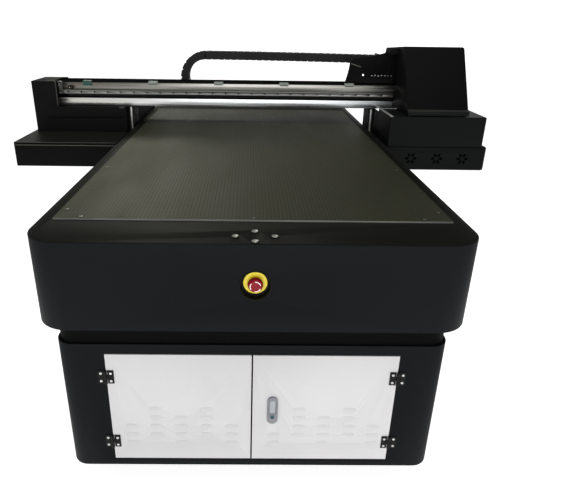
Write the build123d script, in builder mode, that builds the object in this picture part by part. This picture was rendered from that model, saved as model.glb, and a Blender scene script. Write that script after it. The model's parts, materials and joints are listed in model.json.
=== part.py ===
"""Flatbed UV printer: a perforated vacuum bed on a rounded body, a gantry that
travels along the bed, and a print carriage that travels across it.

Millimetres. +X is the operator's right, +Y runs away from the operator, +Z is up.
The origin is on the floor, under the middle of the machine.
"""

from build123d import *
import os

os.makedirs("parts", exist_ok=True)

# ---------------------------------------------------------------- driving dimensions
BODY_WIDTH, BODY_LENGTH = 1070, 2240
BODY_BOTTOM, BODY_TOP = 510, 740
BODY_CORNER = 88
FRONT_Y = -BODY_LENGTH / 2
SHEET = 3
SHELL_DEPTH = 160

CABINET_INSET, CABINET_WIDTH, CABINET_CORNER = 13, 984, 46
CABINET_BOTTOM, CABINET_TOP = 72, 463
NECK_INSET, NECK_WIDTH = 20, 974

PLATE_WIDTH, PLATE_LENGTH, PLATE_THICK, PLATE_PROUD = 1000, 1700, 8, 4
PLATE_FRONT = FRONT_Y + 146
PLATE_GAP = 1.5

CHANNEL_DEPTH, CHANNEL_LOW, CHANNEL_HIGH = 70, 560, 650

DOOR_WIDTH, DOOR_BOTTOM, DOOR_TOP, DOOR_GAP = 368, 96, 433, 2
DOOR_DEPTH = 16
HINGE_HEIGHT, HINGE_LOWS = 40, (137, 346)

BEAM_FRONT, BEAM_BACK = FRONT_Y + 1424, FRONT_Y + 1550
BEAM_BOTTOM, BEAM_TOP = 824, 930
BEAM_LEFT, BEAM_RIGHT = -898, 956
GROOVE_LOW, GROOVE_HIGH, GROOVE_DEPTH = 858, 876, 66
RAIL_HEIGHT, RAIL_PROUD, RAIL_PITCH = 18, 17, 60
CLIP_PITCH, FIRST_CLIP_X = 300, -752
PULLEY_R, BELT_THICK, BELT_WIDTH = 17, 2.5, 12
PULLEY_LEFT_X, PULLEY_RIGHT_X = -840, 925

LEG_INNER, LEG_THICK = 552, 20
LEG_FRONT, LEG_BACK = FRONT_Y + 1400, FRONT_Y + 1545
SIDE_REACH = 1006
BOX_FRONT, BOX_BOTTOM, BOX_TOP = FRONT_Y + 1130, 609, 711
STATION_TOP, STATION_RIGHT, STATION_BACK = 835, 981, FRONT_Y + 1345
COVER_LEFT, COVER_RIGHT, COVER_FRONT = -990, -880, FRONT_Y + 1372

CARRIAGE_LEFT, CARRIAGE_RIGHT = 651, 908
CARRIAGE_FRONT, CARRIAGE_BROW = FRONT_Y + 1140, FRONT_Y + 1308
CARRIAGE_BOTTOM, CARRIAGE_LIP, CARRIAGE_TOP, ROOF_BACK = 838, 857, 1102, 1083
LEDGE_DEPTH, LEDGE_RISE = 18, 4
CARRIAGE_BACK = FRONT_Y + 1610
LIFT_TRAVEL = 104

CHAIN_FRONT, CHAIN_BACK = FRONT_Y + 1560, FRONT_Y + 1640
CHAIN_TOP, CHAIN_HEIGHT, CHAIN_OUTER_R = 1059, 40, 120
BEND_X, CHAIN_END_X, CHAIN_ANCHOR_X = -222, 600, 460
CARRIAGE_TRAVEL = 1320

BUTTON_CENTRE = (2.5, FRONT_Y + 46)
BUTTON_STEP_X, BUTTON_STEP_Y = 46, 30
ESTOP_X, ESTOP_HEIGHT, ESTOP_CUP_R, ESTOP_CUP_WALL = 4, 635, 36, 1.5

CLEAR = 0.3


def block(x, y, z, mode=Mode.ADD):
    """A box between the two ends given for each axis."""
    with Locations(((x[0] + x[1]) / 2, (y[0] + y[1]) / 2, (z[0] + z[1]) / 2)):
        Box(x[1] - x[0], y[1] - y[0], z[1] - z[0], mode=mode)


def rounded_ring(width, length, corner, low, high, thick):
    """The walls of a rounded rectangular tube that stands on the plane z = low."""
    with BuildPart() as ring:
        with BuildSketch(Plane.XY.offset(low)):
            RectangleRounded(width, length, corner)
            inner = (width - 2 * thick, length - 2 * thick, corner - thick)
            RectangleRounded(*inner, mode=Mode.SUBTRACT)
        extrude(amount=high - low)
    return ring.part


# ---------------------------------------------------------------- body of the bed
side_x = BODY_WIDTH / 2
shell_front_end = FRONT_Y + SHELL_DEPTH
shell_rear_end = -shell_front_end

body_ring = rounded_ring(BODY_WIDTH, BODY_LENGTH, BODY_CORNER, BODY_BOTTOM, BODY_TOP, SHEET)
with BuildPart() as front_shell:
    add(body_ring)
    split(bisect_by=Plane.XZ.offset(-shell_front_end), keep=Keep.TOP)
    with Locations(Plane.XZ.offset(-FRONT_Y).shift_origin((ESTOP_X, FRONT_Y, ESTOP_HEIGHT))):
        Cylinder(ESTOP_CUP_R + ESTOP_CUP_WALL + 0.3, 4 * SHEET, mode=Mode.SUBTRACT)
front_shell.part.label = "front_shell"
export_step(front_shell.part, "parts/front_shell.step")

with BuildPart() as rear_shell:
    add(body_ring)
    split(bisect_by=Plane.XZ.offset(-shell_rear_end), keep=Keep.BOTTOM)
rear_shell.part.label = "rear_shell"
export_step(rear_shell.part, "parts/rear_shell.step")

# Each side panel is one bent sheet with a channel pressed into it for the rail.
channel_wall_x = side_x - CHANNEL_DEPTH
with BuildPart() as body_side_panels:
    with BuildSketch(Plane.XZ.offset(-shell_front_end)):
        with BuildLine():
            Polyline(
                (side_x, BODY_TOP),
                (side_x, CHANNEL_HIGH),
                (channel_wall_x, CHANNEL_HIGH),
                (channel_wall_x, CHANNEL_LOW),
                (side_x, CHANNEL_LOW),
                (side_x, BODY_BOTTOM),
                (side_x - SHEET, BODY_BOTTOM),
                (side_x - SHEET, CHANNEL_LOW - SHEET),
                (channel_wall_x - SHEET, CHANNEL_LOW - SHEET),
                (channel_wall_x - SHEET, CHANNEL_HIGH + SHEET),
                (side_x - SHEET, CHANNEL_HIGH + SHEET),
                (side_x - SHEET, BODY_TOP),
                close=True,
            )
        make_face()
    extrude(amount=shell_front_end - shell_rear_end)
    mirror(about=Plane.YZ)
body_side_panels.part.label = "body_side_panels"
export_step(body_side_panels.part, "parts/body_side_panels.step")

inner_size = (BODY_WIDTH - 2 * SHEET, BODY_LENGTH - 2 * SHEET, BODY_CORNER - SHEET)
plate_centre_y = PLATE_FRONT + PLATE_LENGTH / 2
button_places = {
    "button_left": (BUTTON_CENTRE[0] - BUTTON_STEP_X, BUTTON_CENTRE[1]),
    "button_right": (BUTTON_CENTRE[0] + BUTTON_STEP_X, BUTTON_CENTRE[1]),
    "button_front": (BUTTON_CENTRE[0], BUTTON_CENTRE[1] - BUTTON_STEP_Y),
    "button_back": (BUTTON_CENTRE[0], BUTTON_CENTRE[1] + BUTTON_STEP_Y),
}
BEZEL_R, BARREL_R, CAP_R = 10, 9, 7.5

with BuildPart() as top_deck:
    with BuildSketch(Plane.XY.offset(BODY_TOP)):
        RectangleRounded(*inner_size)
        with Locations((0, plate_centre_y)):
            Rectangle(
                PLATE_WIDTH + 2 * PLATE_GAP,
                PLATE_LENGTH + 2 * PLATE_GAP,
                mode=Mode.SUBTRACT,
            )
        with Locations(*button_places.values()):
            Circle(BARREL_R, mode=Mode.SUBTRACT)
    extrude(amount=-SHEET)
top_deck.part.label = "top_deck"
export_step(top_deck.part, "parts/top_deck.step")

# The floor plate of the body, with the recessed band that joins it to the cabinet.
neck_ring = rounded_ring(
    NECK_WIDTH,
    BODY_LENGTH - 2 * NECK_INSET,
    CABINET_CORNER,
    CABINET_TOP - SHEET,
    BODY_BOTTOM,
    SHEET,
)
neck_flange = rounded_ring(
    CABINET_WIDTH - 2 * SHEET,
    BODY_LENGTH - 2 * (CABINET_INSET + SHEET),
    CABINET_CORNER - SHEET,
    CABINET_TOP - SHEET,
    CABINET_TOP,
    NECK_INSET - CABINET_INSET + SHEET,
)
BLOWER_PLACE, DUCT_R = (270, 420), 50
EXHAUST_R, EXHAUST_Z, EXHAUST_END, EXHAUST_MOUTH = 40, 150, BODY_LENGTH / 2 + 35, 60
with BuildPart() as body_floor:
    with BuildSketch(Plane.XY.offset(BODY_BOTTOM)):
        RectangleRounded(*inner_size)
        with Locations(BLOWER_PLACE):
            Circle(DUCT_R, mode=Mode.SUBTRACT)
    extrude(amount=SHEET)
    add(neck_ring)
    add(neck_flange)
body_floor.part.label = "body_floor"
export_step(body_floor.part, "parts/body_floor.step")

# ---------------------------------------------------------------- vacuum bed
plate_top = BODY_TOP + PLATE_PROUD
plate_bottom = plate_top - PLATE_THICK
plate_back = PLATE_FRONT + PLATE_LENGTH
SCREW_HEAD_R, SCREW_HEAD_H, SCREW_SHANK_R = 5, 2.6, 2.5
EDGE_MARGIN_Y, EDGE_MARGIN_X, SIDE_SCREW_PITCH = 11, 17, 415
row_xs = (-432, 0, 432)
first_side_y = PLATE_FRONT + 64
screw_places = [(x, y) for x in row_xs for y in (PLATE_FRONT + EDGE_MARGIN_Y, plate_back - EDGE_MARGIN_Y)]
screw_places += [
    (side * (PLATE_WIDTH / 2 - EDGE_MARGIN_X), first_side_y + i * SIDE_SCREW_PITCH)
    for side in (-1, 1)
    for i in range(4)
]

with BuildPart() as vacuum_bed:
    block(
        (-PLATE_WIDTH / 2, PLATE_WIDTH / 2),
        (PLATE_FRONT, plate_back),
        (plate_bottom, plate_top),
    )
    with Locations(*[(x, y, plate_top) for x, y in screw_places]):
        CounterBoreHole(SCREW_SHANK_R, SCREW_HEAD_R, SCREW_HEAD_H, PLATE_THICK)
vacuum_bed.part.label = "vacuum_bed"
export_step(vacuum_bed.part, "parts/vacuum_bed.step")

with BuildPart() as bed_screws:
    with Locations(*[(x, y, plate_top - SCREW_HEAD_H) for x, y in screw_places]):
        Cylinder(SCREW_HEAD_R, SCREW_HEAD_H, align=(Align.CENTER, Align.CENTER, Align.MIN))
    with Locations(*[(x, y, plate_bottom) for x, y in screw_places]):
        Cylinder(
            SCREW_SHANK_R,
            PLATE_THICK - SCREW_HEAD_H,
            align=(Align.CENTER, Align.CENTER, Align.MIN),
        )
bed_screws.part.label = "bed_screws"
export_step(bed_screws.part, "parts/bed_screws.step")

# The air box below the plate: an open tray with ribs that carry the plate.
CHAMBER_DEPTH, CHAMBER_INSET, CHAMBER_WALL, RIB_COUNT = 46, 25, 6, 7
chamber_floor = plate_bottom - CHAMBER_DEPTH
chamber_x = PLATE_WIDTH / 2 - CHAMBER_INSET
chamber_y = (PLATE_FRONT + CHAMBER_INSET, plate_back - CHAMBER_INSET)
with BuildPart() as vacuum_chamber:
    block((-chamber_x, chamber_x), chamber_y, (chamber_floor, plate_bottom))
    block(
        (-chamber_x + CHAMBER_WALL, chamber_x - CHAMBER_WALL),
        (chamber_y[0] + CHAMBER_WALL, chamber_y[1] - CHAMBER_WALL),
        (chamber_floor + CHAMBER_WALL, plate_bottom),
        mode=Mode.SUBTRACT,
    )
    rib_pitch = (chamber_y[1] - chamber_y[0]) / (RIB_COUNT + 1)
    for i in range(RIB_COUNT):
        rib_y = chamber_y[0] + (i + 1) * rib_pitch
        block(
            (-chamber_x, chamber_x),
            (rib_y - CHAMBER_WALL / 2, rib_y + CHAMBER_WALL / 2),
            (chamber_floor, plate_bottom),
        )
vacuum_chamber.part.label = "vacuum_chamber"
export_step(vacuum_chamber.part, "parts/vacuum_chamber.step")

# ---------------------------------------------------------------- rails along the bed
Y_RAIL_WIDTH, Y_RAIL_PROUD, Y_RAIL_LOW = 20, 18, 598
Y_RAIL_MARGIN = 165
with BuildPart() as y_rails:
    for side in (-1, 1):
        wall, face = side * channel_wall_x, side * (channel_wall_x + Y_RAIL_PROUD)
        block(
            (min(wall, face), max(wall, face)),
            (FRONT_Y + Y_RAIL_MARGIN, -FRONT_Y - Y_RAIL_MARGIN),
            (Y_RAIL_LOW, Y_RAIL_LOW + Y_RAIL_WIDTH),
        )
y_rails.part.label = "y_rails"
export_step(y_rails.part, "parts/y_rails.step")

# Toothed belts stretched under the roof of each channel, clamped at both ends.
Y_BELT_WIDTH, Y_BELT_THICK, Y_BELT_DROP, CLAMP_LENGTH = 25, 3, 8, 30
with BuildPart() as y_belts:
    for side in (-1, 1):
        edge_a, edge_b = side * (side_x - 8), side * (side_x - 8 - Y_BELT_WIDTH)
        across = (min(edge_a, edge_b), max(edge_a, edge_b))
        belt_low = CHANNEL_HIGH - Y_BELT_DROP
        along = (FRONT_Y + Y_RAIL_MARGIN, -FRONT_Y - Y_RAIL_MARGIN)
        block(across, along, (belt_low, belt_low + Y_BELT_THICK))
        block(across, (along[0], along[0] + CLAMP_LENGTH), (belt_low, CHANNEL_HIGH))
        block(across, (along[1] - CLAMP_LENGTH, along[1]), (belt_low, CHANNEL_HIGH))
y_belts.part.label = "y_belts"
export_step(y_belts.part, "parts/y_belts.step")

# ---------------------------------------------------------------- welded base frame
cabinet_width = CABINET_WIDTH
cabinet_length = BODY_LENGTH - 2 * CABINET_INSET
POST, POST_X = 50, 440
post_ys = (FRONT_Y + 100, 0, -FRONT_Y - 100)
floor_top = BODY_BOTTOM + SHEET
cabinet_floor_top = CABINET_BOTTOM + SHEET
STRINGER_X, STRINGER_WIDTH, CROSS_HEIGHT, CROSS_COUNT = 380, 50, 50, 5
with BuildPart() as base_frame:
    with BuildSketch(Plane.XY.offset(CABINET_BOTTOM)):
        RectangleRounded(
            cabinet_width - 2 * SHEET, cabinet_length - 2 * SHEET, CABINET_CORNER - SHEET
        )
    extrude(amount=SHEET)
    for x in (-POST_X, POST_X):
        for y in post_ys:
            block(
                (x - POST / 2, x + POST / 2),
                (y - POST / 2, y + POST / 2),
                (cabinet_floor_top, BODY_BOTTOM),
            )
    for x in (-STRINGER_X, STRINGER_X):
        block(
            (x - STRINGER_WIDTH / 2, x + STRINGER_WIDTH / 2),
            (chamber_y[0], chamber_y[1]),
            (floor_top, chamber_floor - CROSS_HEIGHT),
        )
    cross_pitch = (chamber_y[1] - chamber_y[0] - 2 * POST) / (CROSS_COUNT - 1)
    for i in range(CROSS_COUNT):
        y = chamber_y[0] + POST + i * cross_pitch
        block(
            (-channel_wall_x + 2 * SHEET, channel_wall_x - 2 * SHEET),
            (y - POST / 2, y + POST / 2),
            (chamber_floor - CROSS_HEIGHT, chamber_floor),
        )
base_frame.part.label = "base_frame"
export_step(base_frame.part, "parts/base_frame.step")

# ---------------------------------------------------------------- cabinet
cabinet_face_y = FRONT_Y + CABINET_INSET
cabinet_split_y = cabinet_face_y + CABINET_CORNER + 20
opening_x = DOOR_WIDTH + DOOR_GAP + 0.5

cabinet_ring = rounded_ring(
    cabinet_width, cabinet_length, CABINET_CORNER, CABINET_BOTTOM, CABINET_TOP, SHEET
)
with BuildPart() as cabinet_front:
    add(cabinet_ring)
    split(bisect_by=Plane.XZ.offset(-cabinet_split_y), keep=Keep.TOP)
    block(
        (-opening_x, opening_x),
        (cabinet_face_y - 1, cabinet_face_y + SHEET + 1),
        (DOOR_BOTTOM - 1.5, DOOR_TOP + 1.5),
        mode=Mode.SUBTRACT,
    )
cabinet_front.part.label = "cabinet_front"
export_step(cabinet_front.part, "parts/cabinet_front.step")

# Two flat sides and the rear wrap, which has rows of vent slots.
VENT_LENGTH, VENT_HEIGHT, VENT_PITCH_X, VENT_PITCH_Z = 80, 6, 120, 18
with BuildPart() as cabinet_panels:
    add(cabinet_ring)
    split(bisect_by=Plane.XZ.offset(-cabinet_split_y), keep=Keep.BOTTOM)
    block(
        (-cabinet_width, cabinet_width),
        (-cabinet_split_y - 1, -cabinet_split_y + 1),
        (CABINET_BOTTOM, CABINET_TOP),
        mode=Mode.SUBTRACT,
    )
    with BuildSketch(Plane.XZ.offset(cabinet_face_y)):
        with Locations((0, (CABINET_BOTTOM + CABINET_TOP) / 2)):
            with GridLocations(VENT_PITCH_X, VENT_PITCH_Z, 5, 7):
                SlotOverall(VENT_LENGTH, VENT_HEIGHT)
        with Locations((BLOWER_PLACE[0], EXHAUST_Z)):
            Circle(EXHAUST_R)
    extrude(amount=2 * SHEET, both=True, mode=Mode.SUBTRACT)
cabinet_panels.part.label = "cabinet_panels"
export_step(cabinet_panels.part, "parts/cabinet_panels.step")

FOOT_R, FOOT_PAD, STUD_R, FOOT_X = 40, 14, 10, 430
foot_ys = (FRONT_Y + 130, 0, -FRONT_Y - 130)
with BuildPart() as levelling_feet:
    for x in (-FOOT_X, FOOT_X):
        for y in foot_ys:
            with Locations((x, y, 0)):
                Cylinder(FOOT_R, FOOT_PAD, align=(Align.CENTER, Align.CENTER, Align.MIN))
            with Locations((x, y, FOOT_PAD)):
                Cone(FOOT_R - 8, STUD_R + 6, 12, align=(Align.CENTER, Align.CENTER, Align.MIN))
                Cylinder(
                    STUD_R,
                    CABINET_BOTTOM - FOOT_PAD,
                    align=(Align.CENTER, Align.CENTER, Align.MIN),
                )
levelling_feet.part.label = "levelling_feet"
export_step(levelling_feet.part, "parts/levelling_feet.step")

# Inside the cabinet: the electrics enclosure, open at the rear, and the bed's blower.
with BuildPart() as control_box:
    block((-330, 130), (300, 620), (cabinet_floor_top, 400))
    block((-327, 127), (303, 620), (cabinet_floor_top + SHEET, 397), mode=Mode.SUBTRACT)
control_box.part.label = "control_box"
export_step(control_box.part, "parts/control_box.step")

BLOWER_R = 115
with BuildPart() as vacuum_blower:
    with Locations((*BLOWER_PLACE, cabinet_floor_top)):
        Cylinder(BLOWER_R - 15, 40, align=(Align.CENTER, Align.CENTER, Align.MIN))
    with Locations((*BLOWER_PLACE, cabinet_floor_top + 40)):
        Cylinder(BLOWER_R, 110, align=(Align.CENTER, Align.CENTER, Align.MIN))
    with Locations((*BLOWER_PLACE, cabinet_floor_top + 150)):
        Cylinder(
            DUCT_R,
            chamber_floor - cabinet_floor_top - 150,
            align=(Align.CENTER, Align.CENTER, Align.MIN),
        )
    with BuildSketch(Plane.XZ.offset(-BLOWER_PLACE[1])):
        with Locations((BLOWER_PLACE[0], EXHAUST_Z)):
            Circle(EXHAUST_R)
    extrude(amount=BLOWER_PLACE[1] - EXHAUST_END)
    with BuildSketch(Plane.XZ.offset(-EXHAUST_END)):
        with Locations((BLOWER_PLACE[0], EXHAUST_Z)):
            Circle(EXHAUST_R - SHEET)
    extrude(amount=EXHAUST_MOUTH, mode=Mode.SUBTRACT)
vacuum_blower.part.label = "vacuum_blower"
export_step(vacuum_blower.part, "parts/vacuum_blower.step")

# Mains inlet on the rear panel, with a recess for the plug.
INLET_X, INLET_Z = -400, 130
with BuildPart() as power_inlet:
    rear = -cabinet_face_y
    block((INLET_X - 32, INLET_X + 32), (rear, rear + 6), (INLET_Z - 26, INLET_Z + 26))
    block((INLET_X - 14, INLET_X + 14), (rear + 1, rear + 7), (INLET_Z - 10, INLET_Z + 10),
          mode=Mode.SUBTRACT)
power_inlet.part.label = "power_inlet"
export_step(power_inlet.part, "parts/power_inlet.step")

# ---------------------------------------------------------------- doors and hinges
LOUVRE_LENGTH, LOUVRE_HEIGHT, LOUVRE_PITCH_X, LOUVRE_PITCH_Z = 29, 6, 66, 28
louvre_rows = [266 - i * LOUVRE_PITCH_Z for i in range(5)]
# Rows that each column fills, from the outer column of the left door to the right.
louvre_columns = ((2, 5), (0, 4), (1, 5), (0, 4), (2, 5))
latch_column = (3, 5)

for name, side, first_x in (("door_left", -1, -317), ("door_right", 1, 58)):
    near, far = side * DOOR_GAP, side * (DOOR_GAP + DOOR_WIDTH - 1)
    across = (min(near, far), max(near, far))
    deep = (cabinet_face_y, cabinet_face_y + DOOR_DEPTH)
    with BuildPart() as door:
        block(across, deep, (DOOR_BOTTOM, DOOR_TOP))
        block(
            (across[0] + 2, across[1] - 2),
            (deep[0] + 2, deep[1] + 1),
            (DOOR_BOTTOM + 2, DOOR_TOP - 2),
            mode=Mode.SUBTRACT,
        )
        with BuildSketch(Plane.XZ.offset(-cabinet_face_y)):
            for column, (start, stop) in enumerate(louvre_columns):
                if side > 0 and column == 0:
                    start, stop = latch_column
                x = first_x + column * LOUVRE_PITCH_X
                with Locations(*[(x, louvre_rows[row]) for row in range(start, stop)]):
                    SlotOverall(LOUVRE_LENGTH, LOUVRE_HEIGHT)
        extrude(amount=SHEET, both=True, mode=Mode.SUBTRACT)
    door.part.label = name
    export_step(door.part, f"parts/{name}.step")

# Butterfly hinges lie on the face and bridge the gap beside each door.
hinge_x = DOOR_WIDTH + DOOR_GAP
KNUCKLE_R, PIN_R, LEAF_THICK, LEAF_REACH = 3.5, 1.5, 2, 20
hinge_y = cabinet_face_y - KNUCKLE_R
KNUCKLE_THIRD = HINGE_HEIGHT / 3


def knuckle(x, low, high, radius, mode=Mode.ADD):
    """A vertical cylinder on the hinge axis."""
    with Locations((x, hinge_y, low)):
        Cylinder(radius, high - low, align=(Align.CENTER, Align.CENTER, Align.MIN), mode=mode)


def leaf(side, reach_from, reach_to, low, high):
    """A flat leaf on the face; reaches are measured from the hinge axis, away from x = 0."""
    ends = (side * (hinge_x + reach_from), side * (hinge_x + reach_to))
    face = (cabinet_face_y - LEAF_THICK, cabinet_face_y)
    block((min(ends), max(ends)), face, (low, high))


with BuildPart() as frame_hinge_leaves:
    for side in (-1, 1):
        for low in HINGE_LOWS:
            high = low + HINGE_HEIGHT
            leaf(side, KNUCKLE_R + 1, LEAF_REACH, low, high)
            for part_low in (low, high - KNUCKLE_THIRD):
                leaf(side, 0, KNUCKLE_R + 1, part_low, part_low + KNUCKLE_THIRD)
                knuckle(side * hinge_x, part_low, part_low + KNUCKLE_THIRD, KNUCKLE_R)
            knuckle(side * hinge_x, low, high, PIN_R)
frame_hinge_leaves.part.label = "frame_hinge_leaves"
export_step(frame_hinge_leaves.part, "parts/frame_hinge_leaves.step")


def door_leaves(side):
    """The two moving leaves of one door, each with its middle knuckle."""
    for low in HINGE_LOWS:
        high = low + HINGE_HEIGHT
        middle = (low + KNUCKLE_THIRD + CLEAR, high - KNUCKLE_THIRD - CLEAR)
        leaf(side, -LEAF_REACH, -KNUCKLE_R - 1, low, high)
        leaf(side, -KNUCKLE_R - 1, 0, *middle)
        knuckle(side * hinge_x, *middle, KNUCKLE_R)
        knuckle(side * hinge_x, *middle, PIN_R + 0.1, mode=Mode.SUBTRACT)


with BuildPart() as left_hinge_leaves:
    door_leaves(-1)
left_hinge_leaves.part.label = "left_hinge_leaves"
export_step(left_hinge_leaves.part, "parts/left_hinge_leaves.step")

with BuildPart() as right_hinge_leaves:
    door_leaves(1)
right_hinge_leaves.part.label = "right_hinge_leaves"
export_step(right_hinge_leaves.part, "parts/right_hinge_leaves.step")

# Oval latch on the right door: a base with a well, a pull paddle and a key cylinder.
LATCH_X, LATCH_LOW, LATCH_HIGH, LATCH_WIDTH, LATCH_PROUD = 54, 222, 307, 28, 6
latch_mid = (LATCH_LOW + LATCH_HIGH) / 2
PADDLE_LOW, PADDLE_HIGH, PADDLE_WIDTH, PADDLE_THICK = 256, 296, 17, 4
KEY_Z, KEY_R = 245, 7
latch_face = Plane.XZ.offset(-cabinet_face_y)
with BuildPart() as latch_body:
    with BuildSketch(latch_face):
        with Locations((LATCH_X, latch_mid)):
            SlotOverall(LATCH_HIGH - LATCH_LOW, LATCH_WIDTH, rotation=90)
    extrude(amount=LATCH_PROUD)
    block(
        (LATCH_X - PADDLE_WIDTH / 2 - 1, LATCH_X + PADDLE_WIDTH / 2 + 1),
        (cabinet_face_y - LATCH_PROUD - 1, cabinet_face_y - 1),
        (PADDLE_LOW - 1, PADDLE_HIGH + 1),
        mode=Mode.SUBTRACT,
    )
    with BuildSketch(latch_face.offset(LATCH_PROUD)):
        with Locations((LATCH_X, KEY_Z)):
            Circle(KEY_R)
    extrude(amount=1.5)
    with BuildSketch(latch_face.offset(LATCH_PROUD)):
        with Locations((LATCH_X, KEY_Z)):
            Rectangle(1.6, 8)
    extrude(amount=2, mode=Mode.SUBTRACT)
latch_body.part.label = "latch_body"
export_step(latch_body.part, "parts/latch_body.step")

pivot_r = PADDLE_THICK / 2
with BuildPart() as latch_paddle:
    block(
        (LATCH_X - PADDLE_WIDTH / 2, LATCH_X + PADDLE_WIDTH / 2),
        (cabinet_face_y - LATCH_PROUD, cabinet_face_y - LATCH_PROUD + PADDLE_THICK),
        (PADDLE_LOW, PADDLE_HIGH - pivot_r),
    )
    with BuildSketch(Plane.YZ.offset(LATCH_X)):
        with Locations((cabinet_face_y - LATCH_PROUD + pivot_r, PADDLE_HIGH - pivot_r)):
            Circle(pivot_r)
    extrude(amount=PADDLE_WIDTH / 2, both=True)
latch_paddle.part.label = "latch_paddle"
export_step(latch_paddle.part, "parts/latch_paddle.step")

# ---------------------------------------------------------------- operator controls
ESTOP_FLANGE_R, ESTOP_FLANGE_H, ESTOP_CUP_DEPTH, ESTOP_CUP_FLOOR = 38.5, 1, 18, 2
ESTOP_HEAD_R, ESTOP_TRAVEL, ESTOP_BARREL_R, BARREL_LENGTH = 18.5, 5, 14, 60
STEM_R, ESTOP_BORE_R = 8, 8.5


def estop_disc(y, radius, depth, mode=Mode.ADD):
    """A disc of the stop button that starts y behind the body's face and runs inward."""
    middle = FRONT_Y + y + depth / 2
    with Locations(Plane.XZ.offset(-middle).shift_origin((ESTOP_X, middle, ESTOP_HEIGHT))):
        Cylinder(radius, depth, mode=mode)


# The stop button sits at the bottom of a round cup let into the body's front.
with BuildPart() as estop_collar:
    estop_disc(-ESTOP_FLANGE_H, ESTOP_FLANGE_R, ESTOP_FLANGE_H)
    estop_disc(0, ESTOP_CUP_R + ESTOP_CUP_WALL, ESTOP_CUP_DEPTH + ESTOP_CUP_FLOOR)
    estop_disc(ESTOP_CUP_DEPTH, ESTOP_BARREL_R, BARREL_LENGTH - ESTOP_CUP_DEPTH)
    estop_disc(
        -ESTOP_FLANGE_H, ESTOP_CUP_R, ESTOP_CUP_DEPTH + ESTOP_FLANGE_H, mode=Mode.SUBTRACT
    )
    estop_disc(
        ESTOP_CUP_DEPTH, ESTOP_BORE_R, BARREL_LENGTH - ESTOP_CUP_DEPTH - 10, mode=Mode.SUBTRACT
    )
estop_collar.part.label = "estop_collar"
export_step(estop_collar.part, "parts/estop_collar.step")

HEAD_STANDOFF, HEAD_HEIGHT, STEM_DEPTH = ESTOP_TRAVEL + 2, 16, 30
head_back = ESTOP_CUP_DEPTH - HEAD_STANDOFF
with BuildPart() as estop_button:
    estop_disc(head_back - HEAD_HEIGHT, ESTOP_HEAD_R, HEAD_HEIGHT)
    fillet(estop_button.faces().sort_by(Axis.Y)[0].edges(), 7)
    estop_disc(head_back, STEM_R, STEM_DEPTH)
estop_button.part.label = "estop_button"
export_step(estop_button.part, "parts/estop_button.step")

BEZEL_HEIGHT, BARREL_DROP, CAP_PROUD, CAP_DROP = 2, 30, 3.5, 15
with BuildPart() as button_bezels:
    for x, y in button_places.values():
        with BuildSketch(Plane.XY.offset(BODY_TOP)):
            with Locations((x, y)):
                Circle(BEZEL_R)
        extrude(amount=BEZEL_HEIGHT)
        with BuildSketch(Plane.XY.offset(BODY_TOP)):
            with Locations((x, y)):
                Circle(BARREL_R)
        extrude(amount=-BARREL_DROP)
        with BuildSketch(Plane.XY.offset(BODY_TOP + BEZEL_HEIGHT)):
            with Locations((x, y)):
                Circle(CAP_R + CLEAR)
        extrude(amount=-BEZEL_HEIGHT - BARREL_DROP + 8, mode=Mode.SUBTRACT)
button_bezels.part.label = "button_bezels"
export_step(button_bezels.part, "parts/button_bezels.step")

for name, (x, y) in button_places.items():
    with BuildPart() as button:
        with BuildSketch(Plane.XY.offset(BODY_TOP - CAP_DROP)):
            with Locations((x, y)):
                Circle(CAP_R)
        extrude(amount=CAP_DROP + CAP_PROUD)
        fillet(button.faces().sort_by(Axis.Z)[-1].edges(), 1.2)
    button.part.label = name
    export_step(button.part, f"parts/{name}.step")

# ---------------------------------------------------------------- gantry beam
BEAM_WALL = 8
groove_back = BEAM_FRONT + GROOVE_DEPTH
pulley_y = BEAM_FRONT + GROOVE_DEPTH / 2
SHAFT_HOLE_R, PULLEY_SHAFT_R = 10, 5
with BuildPart() as beam:
    block((BEAM_LEFT, BEAM_RIGHT), (BEAM_FRONT, BEAM_BACK), (BEAM_BOTTOM, BEAM_TOP))
    block(
        (BEAM_LEFT, BEAM_RIGHT),
        (BEAM_FRONT, groove_back),
        (GROOVE_LOW, GROOVE_HIGH),
        mode=Mode.SUBTRACT,
    )
    for low, high in (
        (BEAM_BOTTOM + BEAM_WALL, GROOVE_LOW - BEAM_WALL),
        (GROOVE_HIGH + BEAM_WALL, BEAM_TOP - BEAM_WALL),
    ):
        block(
            (BEAM_LEFT, BEAM_RIGHT),
            (BEAM_FRONT + BEAM_WALL, BEAM_BACK - BEAM_WALL),
            (low, high),
            mode=Mode.SUBTRACT,
        )
    with Locations((PULLEY_RIGHT_X, pulley_y, BEAM_BOTTOM)):
        Cylinder(
            SHAFT_HOLE_R,
            GROOVE_LOW - BEAM_BOTTOM,
            align=(Align.CENTER, Align.CENTER, Align.MIN),
            mode=Mode.SUBTRACT,
        )
    with Locations((PULLEY_LEFT_X, pulley_y, GROOVE_LOW)):
        Cylinder(
            PULLEY_SHAFT_R - 0.05,
            GROOVE_HIGH - GROOVE_LOW,
            align=(Align.CENTER, Align.CENTER, Align.MIN),
        )
beam.part.label = "beam"
export_step(beam.part, "parts/beam.step")

CLAMP_RIGHT = -864
FACE_THICK, STRIP_THICK, FACE_TOP = 6, 8, 926
strip_x = (CLAMP_RIGHT, BEAM_RIGHT - 2)
with BuildPart() as beam_face_strips:
    block(strip_x, (BEAM_FRONT - FACE_THICK, BEAM_FRONT), (GROOVE_HIGH + RAIL_HEIGHT, FACE_TOP))
    block(
        (BEAM_LEFT + 8, BEAM_RIGHT - 2),
        (BEAM_FRONT - STRIP_THICK, BEAM_FRONT),
        (BEAM_BOTTOM, GROOVE_LOW),
    )
beam_face_strips.part.label = "beam_face_strips"
export_step(beam_face_strips.part, "parts/beam_face_strips.step")

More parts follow.
